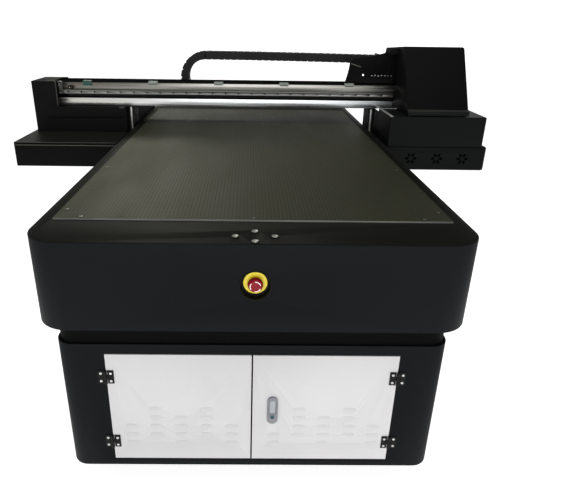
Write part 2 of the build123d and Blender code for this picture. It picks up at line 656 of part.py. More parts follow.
RAIL_HOLE_R, RAIL_HOLE_DEPTH, RAIL_FIRST_HOLE = 4.5, 9, -862 + 22
rail_z = GROOVE_HIGH + RAIL_HEIGHT / 2
with BuildPart() as x_rail:
    block(strip_x, (BEAM_FRONT - RAIL_PROUD, BEAM_FRONT), (GROOVE_HIGH, GROOVE_HIGH + RAIL_HEIGHT))
    hole_count = int((strip_x[1] - RAIL_FIRST_HOLE) // RAIL_PITCH) + 1
    with BuildSketch(Plane.XZ.offset(-BEAM_FRONT + RAIL_PROUD)):
        with Locations(*[(RAIL_FIRST_HOLE + i * RAIL_PITCH, rail_z) for i in range(hole_count)]):
            Circle(RAIL_HOLE_R)
    extrude(amount=-RAIL_HOLE_DEPTH, mode=Mode.SUBTRACT)
x_rail.part.label = "x_rail"
export_step(x_rail.part, "parts/x_rail.step")

CLIP_WIDTH, CLIP_BACK = 41, 14
with BuildPart() as beam_clips:
    for i in range(6):
        x = FIRST_CLIP_X + i * CLIP_PITCH
        across = (x - CLIP_WIDTH / 2, x + CLIP_WIDTH / 2)
        block(across, (BEAM_FRONT - FACE_THICK - 3, BEAM_FRONT - FACE_THICK), (908, BEAM_TOP))
        block(across, (BEAM_FRONT - FACE_THICK - 3, BEAM_FRONT + CLIP_BACK), (BEAM_TOP, BEAM_TOP + 3))
beam_clips.part.label = "beam_clips"
export_step(beam_clips.part, "parts/beam_clips.step")

with BuildPart() as end_clamp:
    block(
        (BEAM_LEFT, CLAMP_RIGHT),
        (BEAM_FRONT - RAIL_PROUD, BEAM_FRONT),
        (GROOVE_HIGH, BEAM_TOP),
    )
    with BuildSketch(Plane.XZ.offset(-BEAM_FRONT + RAIL_PROUD)):
        with Locations(((BEAM_LEFT + CLAMP_RIGHT) / 2, (GROOVE_HIGH + BEAM_TOP) / 2)):
            with GridLocations(18, 40, 2, 2):
                Circle(3.5)
    extrude(amount=-5, mode=Mode.SUBTRACT)
    chamfer(end_clamp.edges().filter_by(Axis.Z).sort_by(Axis.Y)[:2], 1.5)
end_clamp.part.label = "end_clamp"
export_step(end_clamp.part, "parts/end_clamp.step")

KNOB_X, KNOB_Z, KNOB_R, KNOB_LENGTH = -830, 904, 10, 16
with BuildPart() as stop_knob:
    with BuildSketch(Plane.XZ.offset(-BEAM_FRONT + FACE_THICK)):
        with Locations((KNOB_X, KNOB_Z)):
            Circle(KNOB_R)
    extrude(amount=KNOB_LENGTH)
    fillet(stop_knob.faces().sort_by(Axis.Y)[0].edges(), 2)
stop_knob.part.label = "stop_knob"
export_step(stop_knob.part, "parts/stop_knob.step")

# Belt loop in the groove, with its two pulleys and the motor below the right end.
belt_low = (GROOVE_LOW + GROOVE_HIGH - BELT_WIDTH) / 2
belt_inner_r = PULLEY_R + CLEAR
with BuildPart() as x_belt:
    belt_centre = ((PULLEY_LEFT_X + PULLEY_RIGHT_X) / 2, pulley_y)
    span = PULLEY_RIGHT_X - PULLEY_LEFT_X
    with BuildSketch(Plane.XY.offset(belt_low)):
        with Locations(belt_centre):
            SlotCenterToCenter(span, 2 * (belt_inner_r + BELT_THICK))
            SlotCenterToCenter(span, 2 * belt_inner_r, mode=Mode.SUBTRACT)
    extrude(amount=BELT_WIDTH)
x_belt.part.label = "x_belt"
export_step(x_belt.part, "parts/x_belt.step")

with BuildPart() as x_drive_pulley:
    with Locations((PULLEY_RIGHT_X, pulley_y, belt_low)):
        Cylinder(PULLEY_R, BELT_WIDTH, align=(Align.CENTER, Align.CENTER, Align.MIN))
    with Locations((PULLEY_RIGHT_X, pulley_y, BEAM_BOTTOM + 2)):
        Cylinder(
            PULLEY_SHAFT_R,
            belt_low - BEAM_BOTTOM - 2,
            align=(Align.CENTER, Align.CENTER, Align.MIN),
        )
x_drive_pulley.part.label = "x_drive_pulley"
export_step(x_drive_pulley.part, "parts/x_drive_pulley.step")

with BuildPart() as x_idler_pulley:
    with Locations((PULLEY_LEFT_X, pulley_y, belt_low)):
        Cylinder(PULLEY_R, BELT_WIDTH, align=(Align.CENTER, Align.CENTER, Align.MIN))
        Cylinder(
            PULLEY_SHAFT_R,
            BELT_WIDTH,
            align=(Align.CENTER, Align.CENTER, Align.MIN),
            mode=Mode.SUBTRACT,
        )
x_idler_pulley.part.label = "x_idler_pulley"
export_step(x_idler_pulley.part, "parts/x_idler_pulley.step")

MOTOR_SIZE, MOTOR_LENGTH = 60, 86
with BuildPart() as x_motor:
    block(
        (PULLEY_RIGHT_X - MOTOR_SIZE / 2, PULLEY_RIGHT_X + MOTOR_SIZE / 2),
        (pulley_y - MOTOR_SIZE / 2, pulley_y + MOTOR_SIZE / 2),
        (BEAM_BOTTOM - MOTOR_LENGTH, BEAM_BOTTOM),
    )
    fillet(x_motor.edges().filter_by(Axis.Z), 5)
x_motor.part.label = "x_motor"
export_step(x_motor.part, "parts/x_motor.step")

# ---------------------------------------------------------------- legs and side boxes
LEG_BOTTOM, FOOT_LOW, FOOT_HIGH, FOOT_INNER = 566, 575, 638, 500
FOOT_FRONT, FOOT_BACK = FRONT_Y + 1385, FRONT_Y + 1560
with BuildPart() as gantry_legs:
    for side in (-1, 1):
        inner, outer = side * LEG_INNER, side * (LEG_INNER + LEG_THICK)
        block(
            (min(inner, outer), max(inner, outer)),
            (LEG_FRONT, LEG_BACK),
            (LEG_BOTTOM, BEAM_BOTTOM),
        )
        block(
            (min(side * FOOT_INNER, inner), max(side * FOOT_INNER, inner)),
            (FOOT_FRONT + 10, LEG_BACK),
            (FOOT_LOW, FOOT_HIGH),
        )
gantry_legs.part.label = "gantry_legs"
export_step(gantry_legs.part, "parts/gantry_legs.step")

BLOCK_LENGTH, BLOCK_HALF = 64, 24
rail_mid = Y_RAIL_LOW + Y_RAIL_WIDTH / 2
with BuildPart() as y_bearing_blocks:
    for side in (-1, 1):
        for start in (FOOT_FRONT + 10, LEG_BACK - BLOCK_LENGTH):
            near, far = side * (channel_wall_x + 4), side * FOOT_INNER
            rail_near, rail_far = near, side * (channel_wall_x + Y_RAIL_PROUD + CLEAR)
            along = (start, start + BLOCK_LENGTH)
            block(
                (min(near, far), max(near, far)),
                along,
                (rail_mid - BLOCK_HALF, rail_mid + BLOCK_HALF),
            )
            block(
                (min(rail_near, rail_far), max(rail_near, rail_far)),
                along,
                (Y_RAIL_LOW - CLEAR, Y_RAIL_LOW + Y_RAIL_WIDTH + CLEAR),
                mode=Mode.SUBTRACT,
            )
y_bearing_blocks.part.label = "y_bearing_blocks"
export_step(y_bearing_blocks.part, "parts/y_bearing_blocks.step")

box_back = FRONT_Y + 1556
box_inner_x = LEG_INNER + LEG_THICK
with BuildPart() as left_side_box:
    block((-SIDE_REACH, -box_inner_x), (BOX_FRONT, box_back), (BOX_BOTTOM, BOX_TOP))
    fillet(left_side_box.edges().filter_by(Axis.Z).sort_by(Axis.X)[:2], 5)
    fillet(left_side_box.faces().sort_by(Axis.Z)[-1].edges(), 2)
    block(
        (-SIDE_REACH + SHEET, -box_inner_x - SHEET),
        (BOX_FRONT + SHEET, box_back - SHEET),
        (BOX_BOTTOM - 1, BOX_TOP - SHEET),
        mode=Mode.SUBTRACT,
    )
left_side_box.part.label = "left_side_box"
export_step(left_side_box.part, "parts/left_side_box.step")

# Drive housing behind the left leg, with the motor that pulls along the left belt.
DRIVE_BACK, DRIVE_TOP = FRONT_Y + 2040, 808
with BuildPart() as left_drive_box:
    block((-SIDE_REACH + 12, -LEG_INNER), (box_back, DRIVE_BACK), (BOX_BOTTOM, DRIVE_TOP))
    fillet(left_drive_box.edges().filter_by(Axis.Z).sort_by(Axis.Y)[-2:], 5)
    block(
        (-SIDE_REACH + 12 + SHEET, -LEG_INNER - SHEET),
        (box_back + SHEET, DRIVE_BACK - SHEET),
        (BOX_BOTTOM - 1, DRIVE_TOP - SHEET),
        mode=Mode.SUBTRACT,
    )
left_drive_box.part.label = "left_drive_box"
export_step(left_drive_box.part, "parts/left_drive_box.step")

# Lower box of the station: rounded edges and three round groups of vent slots.
VENT_XS, VENT_Z, PETALS, PETAL_LENGTH, PETAL_WIDTH, PETAL_RING = (683, 794, 904), 660, 6, 16, 12, 16.5
with BuildPart() as station_lower:
    block((box_inner_x, SIDE_REACH), (BOX_FRONT, box_back), (BOX_BOTTOM, BOX_TOP))
    fillet(station_lower.edges().filter_by(Axis.Z).sort_by(Axis.X)[-2:], 16)
    fillet(station_lower.faces().sort_by(Axis.Z)[-1].edges().sort_by(Axis.X)[1:], 9)
    fillet(station_lower.faces().sort_by(Axis.Z)[0].edges().sort_by(Axis.X)[1:], 6)
    block(
        (box_inner_x + SHEET, SIDE_REACH - 4 * SHEET),
        (BOX_FRONT + SHEET, box_back - 4 * SHEET),
        (BOX_BOTTOM + SHEET, BOX_TOP - 3 * SHEET),
        mode=Mode.SUBTRACT,
    )
    block(
        (box_inner_x - 1, box_inner_x + SHEET + 1),
        (BOX_FRONT + 40, BOX_FRONT + 160),
        (BOX_BOTTOM + 20, BOX_TOP - 20),
        mode=Mode.SUBTRACT,
    )
    with BuildSketch(Plane.XZ.offset(-BOX_FRONT)):
        for x in VENT_XS:
            with Locations((x, VENT_Z)):
                with PolarLocations(PETAL_RING, PETALS):
                    SlotOverall(PETAL_LENGTH, PETAL_WIDTH)
    extrude(amount=2 * SHEET, both=True, mode=Mode.SUBTRACT)
station_lower.part.label = "station_lower"
export_step(station_lower.part, "parts/station_lower.step")

# Upper box of the station: an open-bottomed hood with a well for the print heads.
STATION_LEFT = 577
WELL_X, WELL_Y = (660, 900), (FRONT_Y + 1147, STATION_BACK - SHEET)
with BuildPart() as station_upper:
    block((STATION_LEFT, STATION_RIGHT), (BOX_FRONT, STATION_BACK), (BOX_TOP, STATION_TOP))
    fillet(station_upper.edges().filter_by(Axis.Z), 4)
    fillet(station_upper.faces().sort_by(Axis.Z)[-1].edges(), 2)
    block(
        (STATION_LEFT + SHEET, STATION_RIGHT - SHEET),
        (BOX_FRONT + SHEET, STATION_BACK - SHEET),
        (BOX_TOP - 1, STATION_TOP - SHEET),
        mode=Mode.SUBTRACT,
    )
    block(WELL_X, WELL_Y, (STATION_TOP - SHEET - 1, STATION_TOP + 1), mode=Mode.SUBTRACT)
    block(
        (STATION_LEFT, STATION_LEFT + SHEET),
        (STATION_BACK - 5, LEG_FRONT + 60),
        (BOX_TOP, BEAM_BOTTOM - 2),
    )
station_upper.part.label = "station_upper"
export_step(station_upper.part, "parts/station_upper.step")

HEAD_XS, HEAD_WIDTH = (736, 780, 824), 34
HEAD_Y = (FRONT_Y + 1196, FRONT_Y + 1310)
CAP_TOP = plate_top
with BuildPart() as capping_unit:
    block((672, 888), (FRONT_Y + 1158, FRONT_Y + 1322), (BOX_TOP, BOX_TOP + 14))
    for x in HEAD_XS:
        across = (x - HEAD_WIDTH / 2, x + HEAD_WIDTH / 2)
        block(across, HEAD_Y, (BOX_TOP + 14, CAP_TOP))
        block(
            (across[0] + 3, across[1] - 3),
            (HEAD_Y[0] + 3, HEAD_Y[1] - 3),
            (CAP_TOP - 8, CAP_TOP),
            mode=Mode.SUBTRACT,
        )
    block((864, 867), HEAD_Y, (BOX_TOP + 14, CAP_TOP))
capping_unit.part.label = "capping_unit"
export_step(capping_unit.part, "parts/capping_unit.step")

# The L-shaped cover over the beam's left end and the left leg.
cover_back = box_back
cover_inner_x = -box_inner_x - 2
COVER_TOP, COVER_STEP = 934, 822
with BuildPart() as left_cover:
    with BuildSketch(Plane.XZ.offset(-COVER_FRONT)):
        with BuildLine():
            Polyline(
                (COVER_LEFT, BOX_TOP),
                (COVER_LEFT, COVER_TOP),
                (COVER_RIGHT, COVER_TOP),
                (COVER_RIGHT, COVER_STEP),
                (cover_inner_x, COVER_STEP),
                (cover_inner_x, BOX_TOP),
                close=True,
            )
        make_face()
    extrude(amount=COVER_FRONT - cover_back)
    block(
        (COVER_LEFT + SHEET, COVER_RIGHT - SHEET),
        (COVER_FRONT + SHEET, cover_back - SHEET),
        (BOX_TOP - 1, COVER_TOP - SHEET),
        mode=Mode.SUBTRACT,
    )
    block(
        (COVER_LEFT + SHEET, cover_inner_x - SHEET),
        (COVER_FRONT + SHEET, cover_back - SHEET),
        (BOX_TOP - 1, COVER_STEP - SHEET),
        mode=Mode.SUBTRACT,
    )
    block(
        (BEAM_LEFT - 1, COVER_RIGHT + 1),
        (BEAM_FRONT - RAIL_PROUD - 3, cover_back - SHEET),
        (COVER_STEP, COVER_TOP + 1),
        mode=Mode.SUBTRACT,
    )
left_cover.part.label = "left_cover"
export_step(left_cover.part, "parts/left_cover.step")

# ---------------------------------------------------------------- cable chain
chain_low = CHAIN_TOP - 2 * CHAIN_OUTER_R
chain_axis_z = CHAIN_TOP - CHAIN_OUTER_R
TROUGH_FRONT, TROUGH_BACK = FRONT_Y + 1557, FRONT_Y + 1646
TROUGH_FLOOR, TROUGH_TOP = chain_low - SHEET - 0.5, chain_low + 30
with BuildPart() as chain_trough:
    block((-1004, CHAIN_ANCHOR_X + 20), (TROUGH_FRONT, TROUGH_BACK), (TROUGH_FLOOR, TROUGH_TOP))
    block(
        (-1004, CHAIN_ANCHOR_X + 20),
        (CHAIN_FRONT - 0.5, CHAIN_BACK + 3.5),
        (TROUGH_FLOOR + SHEET, TROUGH_TOP),
        mode=Mode.SUBTRACT,
    )
    for x in (-500, -180, 140, 440):
        block((x - 20, x + 20), (BEAM_BACK, TROUGH_FRONT), (BEAM_BOTTOM + 4, TROUGH_TOP))
    block(
        (CHAIN_ANCHOR_X, CHAIN_ANCHOR_X + 10),
        (CHAIN_FRONT, CHAIN_BACK),
        (TROUGH_FLOOR, chain_low + CHAIN_HEIGHT / 2),
    )
chain_trough.part.label = "chain_trough"
export_step(chain_trough.part, "parts/chain_trough.step")

LINK_WALL = 6
with BuildPart() as chain_lower:
    block((BEND_X + 1, CHAIN_ANCHOR_X), (CHAIN_FRONT, CHAIN_BACK), (chain_low, chain_low + CHAIN_HEIGHT))
    block(
        (BEND_X, CHAIN_ANCHOR_X - LINK_WALL),
        (CHAIN_FRONT + LINK_WALL, CHAIN_BACK - LINK_WALL),
        (chain_low + LINK_WALL, chain_low + CHAIN_HEIGHT + 1),
        mode=Mode.SUBTRACT,
    )
chain_lower.part.label = "chain_lower"
export_step(chain_lower.part, "parts/chain_lower.step")

bend_travel = CARRIAGE_TRAVEL / 2
with BuildPart() as chain_bend:
    with BuildSketch(Plane.XZ.offset(-CHAIN_FRONT)):
        with Locations((BEND_X, chain_axis_z)):
            Circle(CHAIN_OUTER_R)
            Circle(CHAIN_OUTER_R - CHAIN_HEIGHT, mode=Mode.SUBTRACT)
        with Locations((BEND_X + CHAIN_OUTER_R, chain_axis_z)):
            Rectangle(2 * CHAIN_OUTER_R, 2 * CHAIN_OUTER_R, mode=Mode.SUBTRACT)
    extrude(amount=CHAIN_FRONT - CHAIN_BACK)
    block(
        (BEND_X - 1, BEND_X + bend_travel + 10),
        (CHAIN_FRONT + LINK_WALL + 1, CHAIN_BACK - LINK_WALL - 1),
        (chain_low + LINK_WALL + 1, chain_low + CHAIN_HEIGHT - 1),
    )
chain_bend.part.label = "chain_bend"
export_step(chain_bend.part, "parts/chain_bend.step")

with BuildPart() as chain_upper:
    upper_z = (CHAIN_TOP - CHAIN_HEIGHT, CHAIN_TOP)
    block((BEND_X + 1, CHAIN_END_X), (CHAIN_FRONT, CHAIN_BACK), upper_z)
    block(
        (BEND_X, CHAIN_END_X + 1),
        (CHAIN_FRONT + LINK_WALL, CHAIN_BACK - LINK_WALL),
        (upper_z[0] + LINK_WALL, upper_z[1] - LINK_WALL),
        mode=Mode.SUBTRACT,
    )
chain_upper.part.label = "chain_upper"
export_step(chain_upper.part, "parts/chain_upper.step")

# ---------------------------------------------------------------- carriage
REAR_PART_BOTTOM, FRONT_PART_BACK = 948, FRONT_Y + 1398
with BuildPart() as carriage_cover:
    with BuildSketch(Plane.YZ.offset(CARRIAGE_LEFT)):
        with BuildLine():
            Polyline(
                (CARRIAGE_FRONT, CARRIAGE_BOTTOM),
                (CARRIAGE_FRONT, CARRIAGE_LIP),
                (CARRIAGE_FRONT + LEDGE_DEPTH, CARRIAGE_LIP + LEDGE_RISE),
                (CARRIAGE_BROW, CARRIAGE_TOP),
                (CARRIAGE_BACK, ROOF_BACK),
                (CARRIAGE_BACK, REAR_PART_BOTTOM),
                (FRONT_PART_BACK, REAR_PART_BOTTOM),
                (FRONT_PART_BACK, CARRIAGE_BOTTOM),
                close=True,
            )
        make_face()
    extrude(amount=CARRIAGE_RIGHT - CARRIAGE_LEFT)
    roof = carriage_cover.faces().sort_by(Axis.Z)[-1]
    fillet(roof.edges().sort_by(Axis.X)[-1], 9)
    with BuildSketch(Plane.YZ.offset(CARRIAGE_LEFT + SHEET)):
        with BuildLine():
            Polyline(
                (CARRIAGE_FRONT + SHEET, CARRIAGE_BOTTOM - 1),
                (CARRIAGE_FRONT + SHEET, CARRIAGE_LIP - SHEET),
                (CARRIAGE_FRONT + LEDGE_DEPTH + SHEET, CARRIAGE_LIP + LEDGE_RISE - SHEET),
                (CARRIAGE_BROW + 4, CARRIAGE_TOP - 4 * SHEET),
                (CARRIAGE_BACK - SHEET, ROOF_BACK - 4 * SHEET),
                (CARRIAGE_BACK - SHEET, REAR_PART_BOTTOM - 1),
                (FRONT_PART_BACK + 1, REAR_PART_BOTTOM - 1),
                (FRONT_PART_BACK + 1, CARRIAGE_BOTTOM - 1),
                close=True,
            )
        make_face()
    extrude(amount=CARRIAGE_RIGHT - CARRIAGE_LEFT - 2 * SHEET, mode=Mode.SUBTRACT)
carriage_cover.part.label = "carriage_cover"
export_step(carriage_cover.part, "parts/carriage_cover.step")

# Slide frame: back plate, two brackets, two guide rods and the belt clamp arm.
GUIDE_XS, GUIDE_R = (720, 840), 7
guide_y = FRONT_Y + 1351
PLATE_Y = (FRONT_Y + 1386, FRONT_Y + 1396)
with BuildPart() as slide_frame:
    block((668, 892), PLATE_Y, (842, 1078))
    for low, high in ((852, 862), (1058, 1078)):
        block((700, 860), (FRONT_Y + 1336, PLATE_Y[0]), (low, high))
    for x in GUIDE_XS:
        with Locations((x, guide_y, 852)):
            Cylinder(GUIDE_R, 218, align=(Align.CENTER, Align.CENTER, Align.MIN))
    belt_face = pulley_y - belt_inner_r - BELT_THICK - CLEAR
    block((760, 800), (PLATE_Y[1], belt_face), (862, 872))
slide_frame.part.label = "slide_frame"
export_step(slide_frame.part, "parts/slide_frame.step")

with BuildPart() as x_bearing_blocks:
    for start in (680, 820):
        along = (start, start + 60)
        rail_back = BEAM_FRONT - RAIL_PROUD - CLEAR
        block(along, (PLATE_Y[1], BEAM_FRONT - 9), (rail_z - 20, rail_z + 20))
        block(
            along,
            (rail_back, BEAM_FRONT),
            (GROOVE_HIGH - CLEAR, GROOVE_HIGH + RAIL_HEIGHT + CLEAR),
            mode=Mode.SUBTRACT,
        )
x_bearing_blocks.part.label = "x_bearing_blocks"
export_step(x_bearing_blocks.part, "parts/x_bearing_blocks.step")

# Side panel of the carriage that carries the end of the cable chain.
BRACKET_LEFT, BRACKET_Y, BRACKET_THICK = 434, FRONT_Y + 1440, 5
DOT_FIRST_X, DOT_PITCH, DOT_COUNT, DOT_Z, DOT_R = 552, 15, 7, 968, 2.2
with BuildPart() as chain_bracket:
    with BuildSketch(Plane.XZ.offset(-BRACKET_Y)):
        with BuildLine():
            Polyline(
                (BRACKET_LEFT + 14, 1030),
                (BRACKET_LEFT + 30, 1044),
                (548, 1052),
                (604, 1068),
                (608, 1091),
                (CARRIAGE_LEFT, 1091),
                (CARRIAGE_LEFT, 936),
                (BRACKET_LEFT - 4, 936),
            )
            ThreePointArc(
                (BRACKET_LEFT - 4, 936), (BRACKET_LEFT + 8, 985), (BRACKET_LEFT + 14, 1030)
            )
        make_face()
        with Locations(*[(DOT_FIRST_X + i * DOT_PITCH, DOT_Z) for i in range(DOT_COUNT)]):
            Circle(DOT_R, mode=Mode.SUBTRACT)
    extrude(amount=-BRACKET_THICK)
    block((608, CARRIAGE_LEFT), (FRONT_Y + 1384, BRACKET_Y), (1064, 1091))
    shelf_top = CHAIN_TOP - CHAIN_HEIGHT
    block((575, CARRIAGE_LEFT), (BRACKET_Y, CHAIN_BACK + 4), (shelf_top - 8, shelf_top))
    block((CHAIN_END_X, CHAIN_END_X + 8), (CHAIN_FRONT, CHAIN_BACK), (shelf_top, CHAIN_TOP - 4))
chain_bracket.part.label = "chain_bracket"
export_step(chain_bracket.part, "parts/chain_bracket.step")

# Head carrier: the base plate that holds heads and lamps, on an upright with bushes.
LAMP_XS, LAMP_WIDTH = ((672, 708), (852, 888)), 36
LAMP_Y = (FRONT_Y + 1196, FRONT_Y + 1316)
CARRIER_LOW, CARRIER_HIGH, NOZZLE_Z = 860, 868, 852
carrier_y = (FRONT_Y + 1170, FRONT_Y + 1325)
with BuildPart() as head_carrier:
    block((668, 892), carrier_y, (CARRIER_LOW, CARRIER_HIGH))
    block((700, 860), (carrier_y[1], carrier_y[1] + 8), (CARRIER_LOW, 1050))
    for x in GUIDE_XS:
        block((x - 17, x + 17), (carrier_y[1] + 8, FRONT_Y + 1369), (972, 1048))
        with Locations((x, guide_y, 960)):
            Cylinder(
                GUIDE_R + CLEAR,
                100,
                align=(Align.CENTER, Align.CENTER, Align.MIN),
                mode=Mode.SUBTRACT,
            )
    for x in HEAD_XS:
        across = (x - HEAD_WIDTH / 2, x + HEAD_WIDTH / 2)
        block(across, HEAD_Y, (CARRIER_LOW, CARRIER_HIGH), mode=Mode.SUBTRACT)
    for across in LAMP_XS:
        block(across, LAMP_Y, (CARRIER_LOW, CARRIER_HIGH), mode=Mode.SUBTRACT)
head_carrier.part.label = "head_carrier"
export_step(head_carrier.part, "parts/head_carrier.step")

with BuildPart() as print_heads:
    for x in HEAD_XS:
        across = (x - HEAD_WIDTH / 2, x + HEAD_WIDTH / 2)
        block(across, HEAD_Y, (NOZZLE_Z, CARRIER_HIGH))
        block(
            (across[0] - 2, across[1] + 2),
            (HEAD_Y[0], HEAD_Y[1] + 4),
            (CARRIER_HIGH, CARRIER_HIGH + 34),
        )
print_heads.part.label = "print_heads"
export_step(print_heads.part, "parts/print_heads.step")

with BuildPart() as uv_lamps:
    for across in LAMP_XS:
        block(across, LAMP_Y, (NOZZLE_Z, CARRIER_HIGH + 34))
uv_lamps.part.label = "uv_lamps"
export_step(uv_lamps.part, "parts/uv_lamps.step")
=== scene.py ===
"""Looks of a flatbed UV printer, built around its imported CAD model."""
import bpy
import bmesh
import json
from math import cos, pi, radians, sin
from mathutils import Vector, Matrix


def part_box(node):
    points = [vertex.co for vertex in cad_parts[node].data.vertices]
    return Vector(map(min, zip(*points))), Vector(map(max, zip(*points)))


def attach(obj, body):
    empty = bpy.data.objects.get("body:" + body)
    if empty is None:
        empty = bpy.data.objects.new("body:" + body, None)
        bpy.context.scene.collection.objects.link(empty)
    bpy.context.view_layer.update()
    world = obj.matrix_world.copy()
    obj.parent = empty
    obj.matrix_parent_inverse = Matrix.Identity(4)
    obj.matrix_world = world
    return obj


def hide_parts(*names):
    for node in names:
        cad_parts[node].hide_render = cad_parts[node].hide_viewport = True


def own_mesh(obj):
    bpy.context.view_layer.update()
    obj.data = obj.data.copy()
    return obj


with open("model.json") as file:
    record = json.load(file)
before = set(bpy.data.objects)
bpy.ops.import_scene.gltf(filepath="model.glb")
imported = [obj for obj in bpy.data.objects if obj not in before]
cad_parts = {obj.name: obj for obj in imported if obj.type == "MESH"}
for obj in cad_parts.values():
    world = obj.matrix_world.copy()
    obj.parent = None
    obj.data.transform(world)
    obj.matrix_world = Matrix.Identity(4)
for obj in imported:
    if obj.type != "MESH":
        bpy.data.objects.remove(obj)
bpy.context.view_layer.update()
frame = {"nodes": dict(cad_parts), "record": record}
nodes = frame["nodes"]
mat = {}  # every material by name, filled in by Graph


# ---- materials
class Graph:
    """A new material with a principled shader, and short ways to add nodes to it."""

    def __init__(self, name, color, roughness, metallic=0.0, coat=0.0):
        material = mat[name] = bpy.data.materials.new(name)
        material.use_nodes = True
        self.tree = material.node_tree
        self.tree.nodes.clear()
        output = self.add("OutputMaterial")
        self.shader = self.add("BsdfPrincipled", Roughness=roughness, Metallic=metallic)
        self.set("Base Color", (*color, 1))
        self.feed(output.inputs["Surface"], self.shader.outputs[0])
        if coat:
            self.set("Coat Weight", coat)
            self.set("Coat Roughness", 0.08)
        self.position = self.add("TexCoord").outputs["Object"]

    def feed(self, socket, value):
        """Links a socket to another one, or gives it a value of its own."""
        if isinstance(value, bpy.types.NodeSocket):
            self.tree.links.new(value, socket)
        else:
            socket.default_value = value

    def add(self, kind, **inputs):
        """A node with its inputs set; an underscore stands for a space in an input's name."""
        node = self.tree.nodes.new(f"ShaderNode{kind}")
        for name, value in inputs.items():
            self.feed(node.inputs[name.replace("_", " ")], value)
        return node

    def set(self, socket, value):
        self.feed(self.shader.inputs[socket], value)

    def stretched(self, scale):
        """Object position scaled per axis, for grain that runs one way."""
        return self.add("Mapping", Scale=scale, Vector=self.position).outputs[0]

    def noise(self, scale, detail=3.0, vector=None):
        return self.add("TexNoise", Scale=scale, Detail=detail,
                        Vector=vector or self.position).outputs["Fac"]

    def spread(self, source, low, high, start=0.3, stop=0.7):
        """Maps source from start..stop to low..high."""
        return self.add("MapRange", From_Min=start, From_Max=stop, To_Min=low, To_Max=high,
                        Value=source).outputs[0]

    def mix(self, factor, first, second):
        node = self.add("Mix", Factor=factor)
        node.data_type = "RGBA"
        for name, value in (("A", first), ("B", second)):
            socket = [i for i in node.inputs if i.name == name and i.type == "RGBA"][0]
            self.feed(socket, (*value, 1) if isinstance(value, tuple) else value)
        return [o for o in node.outputs if o.type == "RGBA"][0]

    def color(self, source):
        self.set("Base Color", source)

    def roughness(self, first, second=None):
        """Roughness from one source, or from the sum of two."""
        if second is not None:
            node = self.add("Math")
            self.feed(node.inputs[0], first)
            self.feed(node.inputs[1], second)
            first = node.outputs[0]
        self.set("Roughness", first)

    def bump(self, height, strength, distance):
        self.set("Normal", self.add("Bump", Strength=strength, Distance=distance,
                                    Height=height).outputs[0])

    def edges(self, start=0.52, stop=0.58):
        """One on worn convex edges, nought elsewhere."""
        return self.spread(self.add("NewGeometry").outputs["Pointiness"], 0, 1, start, stop)

    def shade(self, source, color, low, high, start=0.3, stop=0.7):
        """The color between two brightnesses of itself, as source goes from start to stop."""
        return self.mix(self.spread(source, 0, 1, start, stop), lighter(color, low),
                        lighter(color, high))


def lighter(color, factor):
    return tuple(min(1, c * factor) for c in color)


def powder_coat(name, color, roughness=0.42, peel=0.06, wear=1.8, specular=0.5):
    """Satin powder coat: fine orange peel, cloudy sheen, a little wear on its edges."""
    g = Graph(name, color, roughness)
    g.set("Specular IOR Level", specular)
    clouds, grain = g.noise(2.4, 4), g.noise(420, 2)
    tone = g.shade(clouds, color, 0.94, 1.07)
    g.color(g.mix(g.edges(), tone, lighter(color, wear)) if wear > 1 else tone)
    g.roughness(g.spread(clouds, roughness - 0.035, roughness + 0.035),
                g.spread(grain, -0.03, 0.03))
    g.bump(grain, peel, 0.0006)


def brushed(name, color, roughness=0.3, along="X", bump=0.03):
    """Bare metal with fine drawn lines along one axis."""
    g = Graph(name, color, roughness, metallic=1.0)
    scale = [900, 900, 900]
    scale["XYZ".index(along)] = 6
    lines, smears = g.noise(1.0, 4, g.stretched(scale)), g.noise(5.0, 3)
    tone = g.shade(lines, color, 0.82, 1.12)
    g.color(g.mix(g.spread(smears, 0, 0.35), tone, lighter(color, 0.8)))
    g.roughness(g.spread(lines, roughness - 0.06, roughness + 0.08),
                g.spread(smears, -0.04, 0.06))
    g.bump(lines, bump, 0.0003)


def streaked(name, color, end_shade_factor):
    """A long polished strip: drawing lines along it, broad streaks, and painted shade darkening its
    left end.
    """
    g = Graph(name, color, 0.3, metallic=1.0)
    lines = g.noise(1.0, 4, g.stretched((5, 900, 900)))
    streaks = g.noise(1.0, 4, g.stretched((2.2, 60, 150)))
    # A ramp along X from the left end, over which the painted shade fades out.
    along = g.spread(g.add("SeparateXYZ", Vector=g.position).outputs["X"], 0, 1, -0.95, -0.2)
    tone = g.shade(streaks, color, 0.62, 1.25, 0.35, 0.65)
    tone = g.mix(g.spread(lines, 0, 0.4), tone, lighter(color, 0.8))
    painted_end_shade = tuple(c * k * end_shade_factor for c, k in zip(color, (1.0, 0.95, 0.85)))
    g.color(g.mix(along, painted_end_shade, tone))
    g.roughness(g.spread(lines, 0.26, 0.36), g.spread(streaks, -0.08, 0.1))
    g.bump(lines, 0.04, 0.0003)


def plastic(name, color, roughness=0.45, grain_scale=700, bump=0.05, coat=0.0, specular=0.5):
    """Moulded plastic with a fine spark texture."""
    g = Graph(name, color, roughness, coat=coat)
    g.set("Specular IOR Level", specular)
    grain, dust = g.noise(grain_scale, 2), g.noise(14, 5)
    tone = g.shade(dust, color, 0.9, 1.15)
    g.color(g.mix(g.edges(0.53, 0.62), tone, lighter(color, 1.6)))
    g.roughness(g.spread(dust, roughness - 0.05, roughness + 0.07))
    g.bump(grain, bump, 0.0004)


